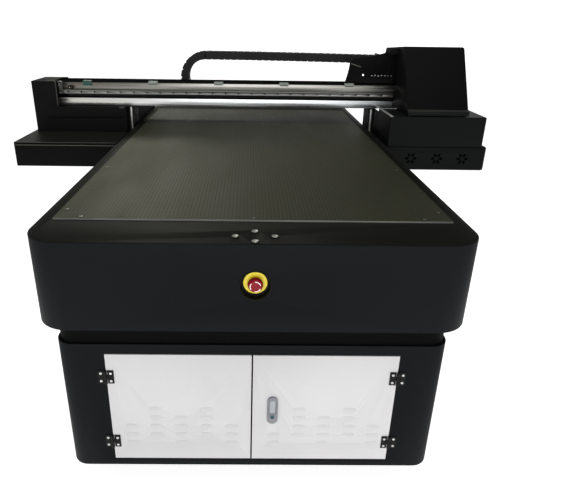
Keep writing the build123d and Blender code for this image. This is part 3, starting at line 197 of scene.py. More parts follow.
def bed_anodised(name):
    """Dark hard-anodised plate, slightly olive, with faint wipe marks."""
    color = (0.028, 0.029, 0.0165)
    g = Graph(name, color, 0.52)
    g.set("Specular IOR Level", 0.07)
    g.set("Specular Tint", (1.0, 1.0, 0.8, 1))
    wipes, fine = g.noise(1.0, 5, g.stretched((9, 2.2, 9))), g.noise(240, 3)
    tone = g.shade(wipes, color, 0.85, 1.2)
    g.color(g.mix(g.spread(fine, 0, 0.25), tone, lighter(color, 1.5)))
    g.roughness(g.spread(wipes, 0.47, 0.57), g.spread(fine, -0.02, 0.02))
    g.bump(fine, 0.05, 0.0003)


BODY_BLACK, GANTRY_BLACK = (0.0068, 0.0074, 0.0082), (0.004, 0.0044, 0.004)
powder_coat("black_powder_coat", BODY_BLACK, 0.5, specular=0.03)
powder_coat("gantry_paint", GANTRY_BLACK, 0.5, specular=0.02)
powder_coat("station_paint", (0.0042, 0.0046, 0.0045), 0.46, specular=0.05)
# The neck between body and cabinet gets a darker paint: painted shade in that recess.
powder_coat("neck_paint", (0.0022, 0.0023, 0.0025), 0.6, specular=0.03)
powder_coat("beam_paint", (0.004, 0.0042, 0.0042), 0.6, specular=0.0)
powder_coat("deck_paint", (0.0062, 0.0064, 0.005), 0.52, 0.04, 1.5, 0.022)
# The next two are lighter paints for ledges, hems and edges: painted highlights.
powder_coat("cover_edge", (0.018, 0.018, 0.016), 0.4, specular=0.2)
powder_coat("tray_edge", (0.045, 0.045, 0.038), 0.4, specular=0.3)
# The tray's top is painted lighter than its front: painted light on the face turned up.
powder_coat("tray_top_painted_light", (0.0125, 0.013, 0.011), 0.5, specular=0.05)
powder_coat("door_paint", (0.545, 0.537, 0.543), 0.42, 0.04, 1.0, 0.3)
bed_anodised("anodised_bed")
brushed("bare_aluminium", (0.34, 0.34, 0.345), 0.34)
# The last figure sets how dark the painted shade at each strip's left end is.
streaked("strip_silver", (0.3, 0.295, 0.272), 0.42)
streaked("strip_bright", (0.64, 0.655, 0.67), 0.95)
brushed("upright_aluminium", (0.3, 0.3, 0.31), 0.36, "Z")
brushed("trim_bright", (0.3, 0.3, 0.29), 0.4, "Z")
# A bright trim for the station's top left edge: painted highlight.
brushed("trim_soft", (0.62, 0.62, 0.6), 0.5, "Y")
brushed("cut_edge", (0.36, 0.36, 0.34), 0.4)
brushed("rail_steel", (0.135, 0.135, 0.128), 0.34)
brushed("rail_steel_y", (0.3, 0.3, 0.3), 0.26, "Y")
brushed("galvanised", (0.3, 0.31, 0.32), 0.48, "Y", 0.05)
plastic("catch_grey", (0.035, 0.036, 0.04), 0.5, specular=0.1)
plastic("cast_grey", (0.1, 0.1, 0.1), 0.45, 260, 0.12)
plastic("black_plastic", (0.006, 0.006, 0.0065), 0.42, specular=0.15)
plastic("chain_plastic", (0.0075, 0.0075, 0.0075), 0.5, 300, 0.1, specular=0.12)
plastic("black_rubber", (0.007, 0.007, 0.007), 0.7, 260, 0.15, specular=0.1)
plastic("foam_grey", (0.05, 0.05, 0.05), 0.9, 180, 0.3, specular=0.05)
plastic("yellow_plastic", (0.82, 0.6, 0.03), 0.34, 500, 0.03, 0.2)
plastic("red_plastic", (0.22, 0.003, 0.01), 0.3, 500, 0.02, 0, 0.25)
plastic("arrow_white", (0.62, 0.5, 0.5), 0.4, 500, 0.02)
brushed("button_bright", (0.34, 0.34, 0.32), 0.34, "Y")
brushed("bright_screw", (0.72, 0.72, 0.7), 0.24, "Z")
brushed("bed_screw", (0.2, 0.2, 0.185), 0.3, "Z")
plastic("ring_black", (0.006, 0.006, 0.006), 0.5, 500, 0.03, 0, 0.1)
plastic("cup_black", (0.0035, 0.0035, 0.0035), 0.5, 500, 0.03, 0, 0.1)
plastic("hinge_black", (0.0045, 0.0045, 0.0045), 0.5, 500, 0.03, 0, 0.12)
brushed("clamp_metal", (0.11, 0.11, 0.1), 0.42)
plastic("vent_screen", (0.0028, 0.0036, 0.0036), 0.7, 500, 0.1, 0, 0.0)
plastic("bolt_black", (0.012, 0.012, 0.012), 0.3, 500, 0.03, specular=0.3)
brushed("brass", (0.55, 0.48, 0.26), 0.25, "Z")
plastic("clip_green", (0.022, 0.062, 0.048), 0.45, 300, 0.04, specular=0.2)
plastic("clip_pale", (0.2, 0.23, 0.2), 0.45, 300, 0.04, specular=0.2)
plastic("head_grey", (0.16, 0.165, 0.17), 0.4)
plastic("lamp_glass", (0.08, 0.07, 0.16), 0.06, 80, 0.0, 1.0)
# Near-black for the insides of gaps, slots and recesses: painted shade.
plastic("gap_painted_shade", (0.002, 0.002, 0.002), 0.8, specular=0.02)
# Near-black for the insides of the bed's holes: painted shade.
plastic("hole_painted_shade", (0.008, 0.008, 0.007), 0.7, specular=0.05)
plastic("louvre_shade", (0.22, 0.22, 0.215), 0.7, specular=0.1)
brushed("nickel", (0.62, 0.62, 0.6), 0.22, "Z")
brushed("key_metal", (0.05, 0.11, 0.14), 0.3, "Z")
plastic("latch_grey", (0.185, 0.185, 0.205), 0.32, 500, 0.03, 0.2)
brushed("lever_silver", (0.34, 0.36, 0.38), 0.36, "Z")


# ---- mesh helpers
def finish_mesh(mesh, angle=32):
    """Smooth shading with sharp edges above the angle; flat panels and caps stay flat."""
    for polygon in mesh.polygons:
        square_on = max(abs(c) for c in polygon.normal) > 0.99999
        polygon.use_smooth = len(polygon.vertices) <= 4 and not square_on
    mesh.set_sharp_from_angle(angle=radians(angle))


def new_object(name, data, materials=()):
    """Puts a mesh, light or camera into the scene, a mesh with its materials."""
    obj = bpy.data.objects.new(name, data)
    bpy.context.scene.collection.objects.link(obj)
    for each in materials:
        data.materials.append(mat[each])
    return obj


def hand_over(obj, body, replaces=()):
    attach(obj, body)
    if replaces:
        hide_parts(*replaces)
    return obj


def piece(name, bm, material, body, replaces=(), bevel=0.0, segments=2, angle=32):
    """Turns a bmesh into a finished piece that rides on a body."""
    mesh = bpy.data.meshes.new(name)
    bmesh.ops.recalc_face_normals(bm, faces=bm.faces)
    bm.to_mesh(mesh)
    bm.free()
    obj = new_object(name, mesh, [material] if isinstance(material, str) else material)
    if bevel:
        apply_bevel(obj, bevel, segments)
    finish_mesh(obj.data, angle)
    return hand_over(obj, body, replaces)


def apply_bevel(obj, width, segments=2, limit=30):
    modifier = obj.modifiers.new("bevel", "BEVEL")
    modifier.width = width
    modifier.segments = segments
    modifier.limit_method = "ANGLE"
    modifier.angle_limit = radians(limit)
    modifier.harden_normals = False
    modifier.use_clamp_overlap = True
    depsgraph = bpy.context.evaluated_depsgraph_get()
    mesh = bpy.data.meshes.new_from_object(obj.evaluated_get(depsgraph))
    old = obj.data
    obj.modifiers.clear()
    obj.data = mesh
    bpy.data.meshes.remove(old)


def box(bm, low, high, index=0):
    """A box between two corners."""
    low, high = Vector(low), Vector(high)
    size, middle = high - low, (low + high) / 2
    matrix = Matrix.Translation(middle) @ Matrix.Diagonal((*size, 1))
    made = bmesh.ops.create_cube(bm, size=1, matrix=matrix)
    for face in {f for v in made["verts"] for f in v.link_faces}:
        face.material_index = index
    return made["verts"]


AXES = {"X": Matrix.Rotation(pi / 2, 4, "Y"), "Y": Matrix.Rotation(-pi / 2, 4, "X"),
        "Z": Matrix.Identity(4)}


def polar(radius, angle, x=0.0, y=0.0):
    """A point at a distance and angle from another."""
    return x + radius * cos(angle), y + radius * sin(angle)


def lathe(bm, centre, axis, profile, sides=32, index=0):
    """A turned solid: profile is (radius, height) pairs along the axis from the centre."""
    turn = AXES[axis.strip("-")]
    if axis.startswith("-"):
        turn = turn @ Matrix.Rotation(pi, 4, "X")
    place = Matrix.Translation(Vector(centre)) @ turn
    rings = []
    for radius, height in profile:
        if radius <= 0:
            rings.append([bm.verts.new(place @ Vector((0, 0, height)))])
            continue
        rings.append([
            bm.verts.new(place @ Vector((*polar(radius, 2 * pi * i / sides), height)))
            for i in range(sides)])
    for lower, upper in zip(rings, rings[1:]):
        for i in range(sides):
            j = (i + 1) % sides
            corners = [lower[i % len(lower)], lower[j % len(lower)],
                       upper[j % len(upper)], upper[i % len(upper)]]
            unique = list(dict.fromkeys(corners))
            if len(unique) > 2:
                bm.faces.new(unique).material_index = index
    for ring in (rings[0], rings[-1]):
        if len(ring) > 2:
            bm.faces.new(ring).material_index = index


def screw(bm, centre, axis, radius=0.004, head=0.0022, index=0):
    """A cap screw with a domed rim and a hexagon socket."""
    hexagon = radius * 0.5
    lathe(bm, centre, axis, [(radius, 0), (radius, head * 0.75), (radius * 0.9, head),
                             (hexagon, head), (hexagon, head * 0.3), (0, head * 0.3)], 24, index)


def prism(bm, outline, axis, start, stop, index=0):
    """A closed outline of points across an axis, pulled along it."""
    def point(a, b, along):
        return {"X": (along, a, b), "Y": (a, along, b), "Z": (a, b, along)}[axis]

    first = [bm.verts.new(point(a, b, start)) for a, b in outline]
    last = [bm.verts.new(point(a, b, stop)) for a, b in outline]
    count = len(outline)
    faces = [bm.faces.new(first), bm.faces.new(last)]
    for i in range(count):
        j = (i + 1) % count
        faces.append(bm.faces.new((first[i], first[j], last[j], last[i])))
    for face in faces:
        face.material_index = index
    return faces


def screws(name, places, material, body, size):
    """A piece of screws only: places are (centre, axis) pairs, size is (radius, head)."""
    bm = bmesh.new()
    for centre, axis in places:
        screw(bm, centre, axis, *size)
    piece(name, bm, material, body)


def boxes(name, parts, material, body, bevel):
    """A piece of boxes only: parts are (low, high) corners."""
    bm = bmesh.new()
    for low, high in parts:
        box(bm, low, high)
    piece(name, bm, material, body, bevel=bevel)


def centre_of(node):
    """The middle of a CAD node's box."""
    return [(a + b) / 2 for a, b in zip(*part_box(node))]


def refined(node, bevel, material, segments=2, choose=None):
    """The CAD node's own shape with its edges softened, standing in for the node.

    choose(centre, normal) gives a face's place in the list of materials.
    """
    source = nodes[node]
    bm = bmesh.new()
    bm.from_mesh(source.data)
    bmesh.ops.remove_doubles(bm, verts=bm.verts, dist=1e-5)
    bmesh.ops.dissolve_limit(bm, angle_limit=radians(1), verts=bm.verts, edges=bm.edges)
    bm.normal_update()
    for face in bm.faces:
        face.material_index = choose(face.calc_center_median(), face.normal) if choose else 0
    return piece(f"{node}_finished", bm, material, body_of[node],
                 replaces=(node,), bevel=bevel, segments=segments)


body_of = {n: b for b, listed in frame["record"]["behaviour"]["bodies"].items() for n in listed}


def repaint(node, material):
    """Gives a CAD node that stays as it is a finished material."""
    mesh = nodes[node].data
    mesh.materials.clear()
    mesh.materials.append(mat[material])


# ---- nodes whose shape stays
softened = {
    "front_shell": (0.0022, "black_powder_coat"),
    "rear_shell": (0.0022, "black_powder_coat"),
    "body_side_panels": (0.0015, "black_powder_coat"),
    "top_deck": (0.0008, "deck_paint"),
    "body_floor": (0.001, "neck_paint"),
    "cabinet_front": (0.001, "black_powder_coat"),
    "cabinet_panels": (0.001, "black_powder_coat"),
    "left_drive_box": (0.0015, "gantry_paint"),
    "left_cover": (0.0015, "gantry_paint"),
    "station_lower": (0.001, "station_paint"),
    "station_upper": (0.0015, "station_paint"),
    "chain_bracket": (0.0008, "gantry_paint"),
    "gantry_legs": (0.0015, "gantry_paint"),
    "beam": (0.001, "beam_paint"),
    "x_rail": (0.0008, "rail_steel"),
    "end_clamp": (0.0008, "clamp_metal"),
    "slide_frame": (0.001, "upright_aluminium"),
    "head_carrier": (0.001, "bare_aluminium"),
}
for node, (bevel, material) in softened.items():
    refined(node, bevel, material)

# Faces turned up get the lighter top paint: painted light.
refined("left_side_box", 0.0015, ("gantry_paint", "tray_top_painted_light"),
        choose=lambda centre, normal: int(normal.z > 0.9))
groove_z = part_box("x_rail")[0].z
refined("beam_face_strips", 0.001, ("strip_silver", "strip_bright"),
        choose=lambda centre, normal: int(centre.z < groove_z))
cover_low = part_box("carriage_cover")[0]
LEDGE_TOP, SKIRT_TOP = cover_low.z + 0.0235, cover_low.z + 0.0195


def carriage_highlight_and_skirt(centre, normal):
    """The ledge gets a lighter paint, a painted highlight, and the skirt below it is the station's
    colour.
    """
    if normal.z > 0.7 and centre.z < LEDGE_TOP:
        return 1
    return 2 if centre.z < SKIRT_TOP and normal.y < -0.7 else 0


refined("carriage_cover", 0.0015, ("gantry_paint", "cover_edge", "station_paint"),
        choose=carriage_highlight_and_skirt)

plain_paint = {
    "vacuum_chamber": "bare_aluminium", "y_rails": "rail_steel_y", "y_belts": "black_rubber",
    "base_frame": "black_powder_coat", "control_box": "galvanised",
    "vacuum_blower": "black_plastic", "y_bearing_blocks": "rail_steel_y",
    "chain_trough": "galvanised", "x_bearing_blocks": "rail_steel",
}
for node, material in plain_paint.items():
    repaint(node, material)

# ---- vacuum bed
HOLE_PITCH, HOLE_RADIUS, HOLE_DEPTH, HOLE_SIDES = 0.01, 0.0013, 0.002, 8


def perforated_sheet(name, low, high, material, body, replaces):
    """A plate with a square grid of blind holes in its top and a cut metal edge; the holes' walls
    and floors take painted shade.
    """
    columns = round((high.x - low.x) / HOLE_PITCH)
    rows = round((high.y - low.y) / HOLE_PITCH)
    step_x, step_y = (high.x - low.x) / columns, (high.y - low.y) / rows
    verts = [(low.x + i * step_x, low.y + j * step_y, high.z)
             for j in range(rows + 1) for i in range(columns + 1)]
    faces, indexes = [], []
    ring = [polar(HOLE_RADIUS, pi * (2 * k + 1) / HOLE_SIDES) for k in range(HOLE_SIDES)]
    for j in range(rows):
        for i in range(columns):
            x, y = low.x + (i + 0.5) * step_x, low.y + (j + 0.5) * step_y
            first = j * (columns + 1) + i
            corners = (first + columns + 2, first + columns + 1, first, first + 1)
            rim = len(verts)
            verts += [(x + a, y + b, high.z) for a, b in ring]
            verts += [(x + a, y + b, high.z - HOLE_DEPTH) for a, b in ring]
            bottom = rim + HOLE_SIDES
            for side in range(4):
                here, after = 2 * side, 2 * side + 1
                wrapped = (2 * side + 2) % HOLE_SIDES
                faces.append((corners[side], rim + after, rim + here))
                faces.append((corners[side], corners[(side + 1) % 4], rim + wrapped, rim + after))
            indexes += [0] * 8
            for k in range(HOLE_SIDES):
                n = (k + 1) % HOLE_SIDES
                faces.append((rim + k, rim + n, bottom + n, bottom + k))
            indexes += [2] * HOLE_SIDES
            faces.append(tuple(bottom + k for k in range(HOLE_SIDES)))
            indexes.append(2)
    edge = len(verts)
    outline = ((low.x, low.y), (high.x, low.y), (high.x, high.y), (low.x, high.y))
    verts += [(x, y, high.z) for x, y in outline] + [(x, y, low.z) for x, y in outline]
    for k in range(4):
        n = (k + 1) % 4
        faces.append((edge + k, edge + 4 + k, edge + 4 + n, edge + n))
        indexes.append(1)
    faces.append((edge + 4, edge + 5, edge + 6, edge + 7))
    indexes.append(1)
    mesh = bpy.data.meshes.new(name)
    mesh.from_pydata(verts, [], faces)
    obj = new_object(name, mesh, material)
    mesh.polygons.foreach_set("material_index", indexes)
    finish_mesh(mesh)
    return hand_over(obj, body, replaces)


bed_low, bed_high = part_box("vacuum_bed")
perforated_sheet("perforated_bed", bed_low, bed_high, ("anodised_bed", "cut_edge", "hole_painted_shade"),
                 "base", ("vacuum_bed",))

SCREW_ROW_X, SCREW_ROW_INSET, SIDE_SCREW_INSET = 0.432, 0.011, 0.017
SIDE_SCREW_START, SIDE_SCREW_PITCH = 0.064, 0.415
bed_screw_places = [(x, y) for x in (-SCREW_ROW_X, 0, SCREW_ROW_X)
                    for y in (bed_low.y + SCREW_ROW_INSET, bed_high.y - SCREW_ROW_INSET)]
bed_screw_places += [(x, bed_low.y + SIDE_SCREW_START + i * SIDE_SCREW_PITCH)
                     for x in (bed_low.x + SIDE_SCREW_INSET, bed_high.x - SIDE_SCREW_INSET)
                     for i in range(4)]
bm = bmesh.new()
for x, y in bed_screw_places:
    # A near-black ring round each screw head: painted shade in the gap.
    lathe(bm, (x, y, bed_high.z), "Z", [(0.0068, -0.001), (0.0068, 0.0002), (0.006, 0.0005)], 24, 1)
    screw(bm, (x, y, bed_high.z), "Z", 0.005, 0.0014)
piece("bed_screw_heads", bm, ("bed_screw", "gap_painted_shade"), "base", ("bed_screws",))

# ---- doors, hinges and latch
LOUVRE_PITCH, LOUVRE_ROW_STEP, LOUVRE_FIRST_ROW = 0.066, 0.028, 0.17
LOUVRE_SIZE, LOUVRE_PROUD = (0.034, 0.0115), 0.0036
LOUVRE_ROWS = ((2, 5), (0, 4), (1, 5), (0, 4), (2, 5))
HINGE_HEIGHT, HINGE_STARTS, HINGE_SCREW = 0.04, (0.041, 0.25), (0.0125, 0.0115)


def louvre(bm, x, face, z):
    """A pressed hood, fullest near its lower lip, that opens downward."""
    columns, rows = 12, 5
    length, height = LOUVRE_SIZE
    grid = []
    for i in range(columns + 1):
        across = 2 * i / columns - 1
        reach = LOUVRE_PROUD * (1 - across ** 4)
        tall = height * (1 - 0.3 * across ** 4)
        grid.append([bm.verts.new((x + across * length / 2,
                                   face - reach * sin(pi / 2 * j / rows),
                                   z + tall * (0.5 - j / rows)))
                     for j in range(rows + 1)])
    back = [bm.verts.new((column[-1].co.x, face, column[-1].co.z)) for column in grid]
    for i in range(columns):
        for j in range(rows):
            bm.faces.new((grid[i][j], grid[i + 1][j], grid[i + 1][j + 1], grid[i][j + 1]))
        bm.faces.new((grid[i][-1], grid[i + 1][-1], back[i + 1], back[i])).material_index = 1


for node, side, first, latch_side in (("door_left", -1, 0.052, False),
                                      ("door_right", 1, 0.057, True)):
    low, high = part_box(node)
    body = body_of[node]
    refined(node, 0.0011, "door_paint")
    bm = bmesh.new()
    for column, (start, stop) in enumerate(LOUVRE_ROWS):
        if latch_side and column == 0:
            start = 3
        for row in range(start, stop):
            louvre(bm, low.x + first + column * LOUVRE_PITCH, low.y + 0.0001,
                   low.z + LOUVRE_FIRST_ROW - row * LOUVRE_ROW_STEP)
    piece(f"{node}_louvres", bm, ("door_paint", "louvre_shade"), body, angle=50)
    axis_x = side * (max(abs(low.x), abs(high.x)) + 0.001)
    for where, reach, rides in (("door", -1, body), ("frame", 1, "base")):
        screws(f"{node}_{where}_hinge_screws",
               [((axis_x + side * reach * HINGE_SCREW[0], low.y - 0.002,
                  low.z + start + HINGE_HEIGHT / 2 + up * HINGE_SCREW[1]), "-Y")
                for start in HINGE_STARTS for up in (-1, 1)],
               "bright_screw", rides, (0.0034, 0.0016))
for node in ("left_hinge_leaves", "right_hinge_leaves", "frame_hinge_leaves"):
    refined(node, 0.0005, "hinge_black")

refined("latch_body", 0.0016, "latch_grey", segments=3)
refined("latch_paddle", 0.0009, "lever_silver", segments=3)
latch_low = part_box("latch_body")[0]
latch_x, key_z = centre_of("latch_body")[0], latch_low.z + 0.023
bm = bmesh.new()
lathe(bm, (latch_x, latch_low.y + 0.0002, key_z), "-Y",
      [(0.0055, 0), (0.0055, 0.0006), (0.005, 0.001), (0.0028, 0.001), (0.0026, 0.0006),
       (0, 0.0006)], 28)
# The key's slot is a near-black bar: painted shade.
box(bm, (latch_x - 0.0006, latch_low.y - 0.0011, key_z - 0.003),
    (latch_x + 0.0006, latch_low.y - 0.0004, key_z + 0.003), 1)
piece("latch_key_cylinder", bm, ("key_metal", "gap_painted_shade"), "right_door")

# ---- operator controls
head_low, head_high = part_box("estop_button")
stop_x, _, stop_z = centre_of("estop_collar")
CUP_DEPTH, HEAD_DEPTH = 0.019, 0.016
refined("estop_collar", 0.0006, "cup_black", segments=3)
bm = bmesh.new()
lathe(bm, (stop_x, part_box("estop_collar")[0].y + CUP_DEPTH, stop_z), "-Y",
      [(0.01, 0), (0.0285, 0), (0.0285, 0.0012), (0.0278, 0.0018), (0.0106, 0.0018),
       (0.01, 0.0012)], 64)
piece("estop_yellow_ring", bm, "yellow_plastic", "base")

head_r = (head_high.x - head_low.x) / 2
bm = bmesh.new()
lathe(bm, (stop_x, head_low.y + HEAD_DEPTH, stop_z), "-Y",
      [(0.008, -0.02), (0.008, 0), (0.0155, 0), (head_r - 0.0006, 0.0015),
       (head_r, 0.003), (head_r - 0.0002, 0.006), (0.0174, 0.0094), (0.0158, 0.0125),
       (0.0136, 0.0146), (0.0108, 0.0156), (0.0088, 0.0158), (0.008, 0.015), (0, 0.0146)], 64)
piece("estop_mushroom", bm, "red_plastic", "emergency_stop", ("estop_button",))
bm = bmesh.new()
for turn in range(3):
    arc = [radians(120 * turn + 18 + 6 * i) for i in range(12)]
    for start, stop in zip(arc, arc[1:]):
        inner, outer = 0.0116, 0.0134
        corners = [(inner, start), (outer, start), (outer, stop), (inner, stop)]
        prism(bm, [polar(r, a, stop_x, stop_z) for r, a in corners],
              "Y", head_low.y + 0.0014, head_low.y + 0.0004)
    tip = [(0.0106, arc[-1]), (0.0146, arc[-1]), (0.0125, arc[-1] + radians(12))]
    prism(bm, [polar(r, a, stop_x, stop_z) for r, a in tip], "Y",
          head_low.y + 0.0016, head_low.y + 0.0004)
piece("estop_turn_arrows", bm, "arrow_white", "emergency_stop")

BUTTONS = ("button_left", "button_right", "button_front", "button_back")
for node in BUTTONS:
    low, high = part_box(node)
    x, y, _ = centre_of(node)
    radius = (high.x - low.x) / 2
    bm = bmesh.new()
    lathe(bm, (x, y, high.z), "Z",
          [(radius, -0.012), (radius, -0.0014), (radius - 0.0005, -0.0004),
           (radius - 0.0016, 0), (radius * 0.6, -0.0005), (0, -0.0007)], 40)
    piece(f"{node}_cap", bm, "button_bright", body_of[node], (node,))
bm = bmesh.new()
ring_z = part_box("button_bezels")[1].z - 0.002
for node in BUTTONS:
    x, y, _ = centre_of(node)
    lathe(bm, (x, y, ring_z), "Z",
          [(0.0108, 0), (0.0108, 0.0003), (0.0102, 0.0004), (0.01, 0.0003)], 48, 1)
    lathe(bm, (x, y, ring_z), "Z",
          [(0.01, 0), (0.01, 0.001), (0.0095, 0.0019), (0.0088, 0.002),
           (0.008, 0.0012), (0.0078, -0.006)], 48)
piece("button_rings", bm, ("ring_black", "black_rubber"), "base",
      ("button_bezels",))

# ---- beam
beam_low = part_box("beam")[0]
rail_low, rail_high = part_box("x_rail")
clip_low, clip_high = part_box("beam_clips")
rail_z = centre_of("x_rail")[2]
RAIL_BOLT_PITCH, RAIL_BOLT_START = 0.06, 0.024
rail_bolts = int((rail_high.x - rail_low.x - RAIL_BOLT_START) / RAIL_BOLT_PITCH) + 1
screws("x_rail_bolts",
       [((rail_low.x + RAIL_BOLT_START + i * RAIL_BOLT_PITCH, rail_low.y + 0.0055, rail_z), "-Y")
        for i in range(rail_bolts)], "bolt_black", "gantry", (0.0039, 0.003))

CLIP_PITCH, CLIP_WIDTH, CLIP_COUNT = 0.3, 0.041, 6
CLIP_BEND, CLIP_THICK, FIRST_DROP, CLIP_DROP = 0.0018, 0.0028, 0.025, 0.0135
front, inner = clip_low.y, clip_low.y + 0.003
bm = bmesh.new()
for i in range(CLIP_COUNT):
    left = clip_low.x + i * CLIP_PITCH
    right = left + CLIP_WIDTH
    lip = clip_high.z - (CLIP_DROP if i else FIRST_DROP)
    prism(bm, [(front, lip), (front, clip_high.z - CLIP_BEND), (front + CLIP_BEND, clip_high.z),
               (clip_high.y, clip_high.z), (clip_high.y, clip_high.z - CLIP_THICK),
               (inner, clip_high.z - CLIP_THICK), (inner, lip)], "X", left, right, min(i, 1))
    # A strip along each clip's lower lip: painted shade on all but the first, whose strip is pale.
    prism(bm, [(front - 0.0002, lip), (front - 0.0002, lip + 0.0028),
               (front + 0.0028, lip + 0.0028), (front + 0.0028, lip)],
          "X", left + 0.001, right - 0.001, 2 if i else 1)
    for x in (left + 0.01, right - 0.01):
        screw(bm, (x, (front + clip_high.y) / 2 + 0.003, clip_high.z - 0.0006), "Z",
              0.003, 0.0012, 3)
piece("beam_edge_clips", bm, ("clip_green", "clip_pale", "gap_painted_shade", "bright_screw"), "gantry",
      ("beam_clips",), bevel=0.0004)

clamp_x, _, clamp_z = centre_of("end_clamp")
clamp_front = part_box("end_clamp")[0].y
screws("end_clamp_bolts", [((clamp_x + x, clamp_front + 0.003, clamp_z + z), "-Y")
                           for x in (-0.009, 0.009) for z in (-0.02, 0.02)],
       "bolt_black", "gantry", (0.0033, 0.0034))

knob_low, knob_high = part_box("stop_knob")
knob_x, _, knob_z = centre_of("stop_knob")
knob_r, knob_len = (knob_high.x - knob_low.x) / 2, knob_high.y - knob_low.y
KNOB_SIDES, KNOB_LOBES = 72, 12
bm = bmesh.new()
turns = [2 * pi * i / KNOB_SIDES for i in range(KNOB_SIDES)]
prism(bm, [polar(knob_r - 0.0008 * (0.5 + 0.5 * cos(KNOB_LOBES * a)), a, knob_x, knob_z)
           for a in turns], "Y", knob_low.y + 0.0015, knob_high.y - 0.002)
lathe(bm, (knob_x, knob_high.y, knob_z), "-Y",
      [(0.005, 0), (0.005, knob_len - 0.004), (knob_r - 0.0018, knob_len - 0.0014),
       (knob_r - 0.0026, knob_len - 0.0002), (0.0048, knob_len - 0.0002)], 40)
lathe(bm, (knob_x, knob_low.y + 0.0008, knob_z), "-Y",
      [(0.0048, -0.001), (0.0048, 0.0002), (0.0022, 0.0004)], 32)
lathe(bm, (knob_x, knob_low.y + 0.0008, knob_z), "-Y",
      [(0.0022, -0.001), (0.0022, 0.0005), (0.0018, 0.0008), (0, 0.0008)], 24, 1)
piece("stop_knob_finished", bm, ("black_plastic", "brass"), "gantry",
      ("stop_knob",), angle=24)

# Toothed belt and pulleys inside the groove.
TOOTH_PITCH, TOOTH_DEPTH = 0.005, 0.0011
belt_low, belt_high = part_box("x_belt")
belt_y = (belt_low.y + belt_high.y) / 2
outer_r = (belt_high.y - belt_low.y) / 2
left_x, right_x = belt_low.x + outer_r, belt_high.x - outer_r


def belt_loop(inset, count=24):
    """The loop's outline at a distance inside its outer face, counterclockwise."""
    r = outer_r - inset
    angles = [pi * i / count for i in range(count + 1)]
    return ([(right_x + r * sin(a), belt_y - r * cos(a)) for a in angles]
            + [(left_x - r * sin(a), belt_y + r * cos(a)) for a in angles])


bm = bmesh.new()
BELT_THICKNESS = 0.0014
outside, inside = belt_loop(0), belt_loop(BELT_THICKNESS)
rings = [[bm.verts.new((x, y, z)) for x, y in loop]
         for loop, z in ((outside, belt_low.z), (outside, belt_high.z),
                         (inside, belt_high.z), (inside, belt_low.z))]
for one, two in zip(rings, rings[1:] + rings[:1]):
    for i in range(len(one)):
        j = (i + 1) % len(one)
        bm.faces.new((one[i], one[j], two[j], two[i]))
for i in range(int((right_x - left_x) / TOOTH_PITCH)):
    x = left_x + (i + 0.5) * TOOTH_PITCH
    for side in (-1, 1):
        face = belt_y + side * (outer_r - BELT_THICKNESS + 0.0002)
        tip = face - side * TOOTH_DEPTH
        prism(bm, [(x - 0.0015, face), (x + 0.0015, face), (x + 0.0009, tip), (x - 0.0009, tip)],
              "Z", belt_low.z, belt_high.z)
piece("x_belt_toothed", bm, "black_rubber", "gantry", ("x_belt",))

PULLEY_TEETH = 20
for node, shaft in (("x_drive_pulley", True), ("x_idler_pulley", False)):
    low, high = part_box(node)
    if shaft:
        low.z = high.z - (belt_high.z - belt_low.z)
    x, y, _ = centre_of(node)
    r = (high.x - low.x) / 2
    outline = [polar(r - depth, 2 * pi * (i + shift) / PULLEY_TEETH, x, y)
               for i in range(PULLEY_TEETH)
               for shift, depth in ((0, 0.0002), (0.45, 0.0002), (0.6, 0.0018), (0.85, 0.0018))]
    bm = bmesh.new()
    prism(bm, outline, "Z", low.z + 0.0008, high.z - 0.0008)
    for z, up in ((low.z, 1), (high.z, -1)):
        lathe(bm, (x, y, z), "Z",
              [(0.0055, 0), (r, 0), (r, up * 0.0008), (0.0055, up * 0.0008)], 40)
    if shaft:
        node_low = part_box(node)[0]
        lathe(bm, (x, y, node_low.z), "Z",
              [(0.0042, 0), (0.005, 0.0008), (0.005, low.z - node_low.z + 0.002)], 28)
    piece(f"{node}_toothed", bm, "rail_steel", body_of[node], (node,), angle=20)

motor_low, motor_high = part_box("x_motor")
motor_x, motor_y, _ = centre_of("x_motor")
motor_w = (motor_high.x - motor_low.x) / 2


def motor_block(half, cut, low, high, index=0):
    """A square block with cut corners around the motor's axis."""
    corners = ((half - cut, -half), (half, -half + cut), (half, half - cut), (half - cut, half),
               (-half + cut, half), (-half, half - cut), (-half, -half + cut),
               (-half + cut, -half))
    prism(bm, [(motor_x + a, motor_y + b) for a, b in corners], "Z", low, high, index)


FRONT_FLANGE, REAR_COVER, BODY_INSET = 0.014, 0.02, 0.0015
bm = bmesh.new()
motor_block(motor_w, 0.006, motor_high.z - FRONT_FLANGE, motor_high.z, 1)
motor_block(motor_w - BODY_INSET, 0.007, motor_low.z + REAR_COVER, motor_high.z - FRONT_FLANGE)
motor_block(motor_w, 0.006, motor_low.z, motor_low.z + REAR_COVER, 1)
for a in (-1, 1):
    for b in (-1, 1):
        screw(bm, (motor_x + a * 0.023, motor_y + b * 0.023, motor_low.z + 0.0016), "-Z",
              0.0032, 0.0016, 2)
    for i in range(5):
        z = motor_low.z + 0.028 + i * 0.009
        x = motor_x + a * (motor_w - BODY_INSET)
        box(bm, (x - 0.0014, motor_y - 0.018, z), (x + 0.0014, motor_y + 0.018, z + 0.003))
piece("x_motor_finished", bm, ("black_plastic", "cast_grey", "bright_screw"), "gantry",
      ("x_motor",), bevel=0.0006)

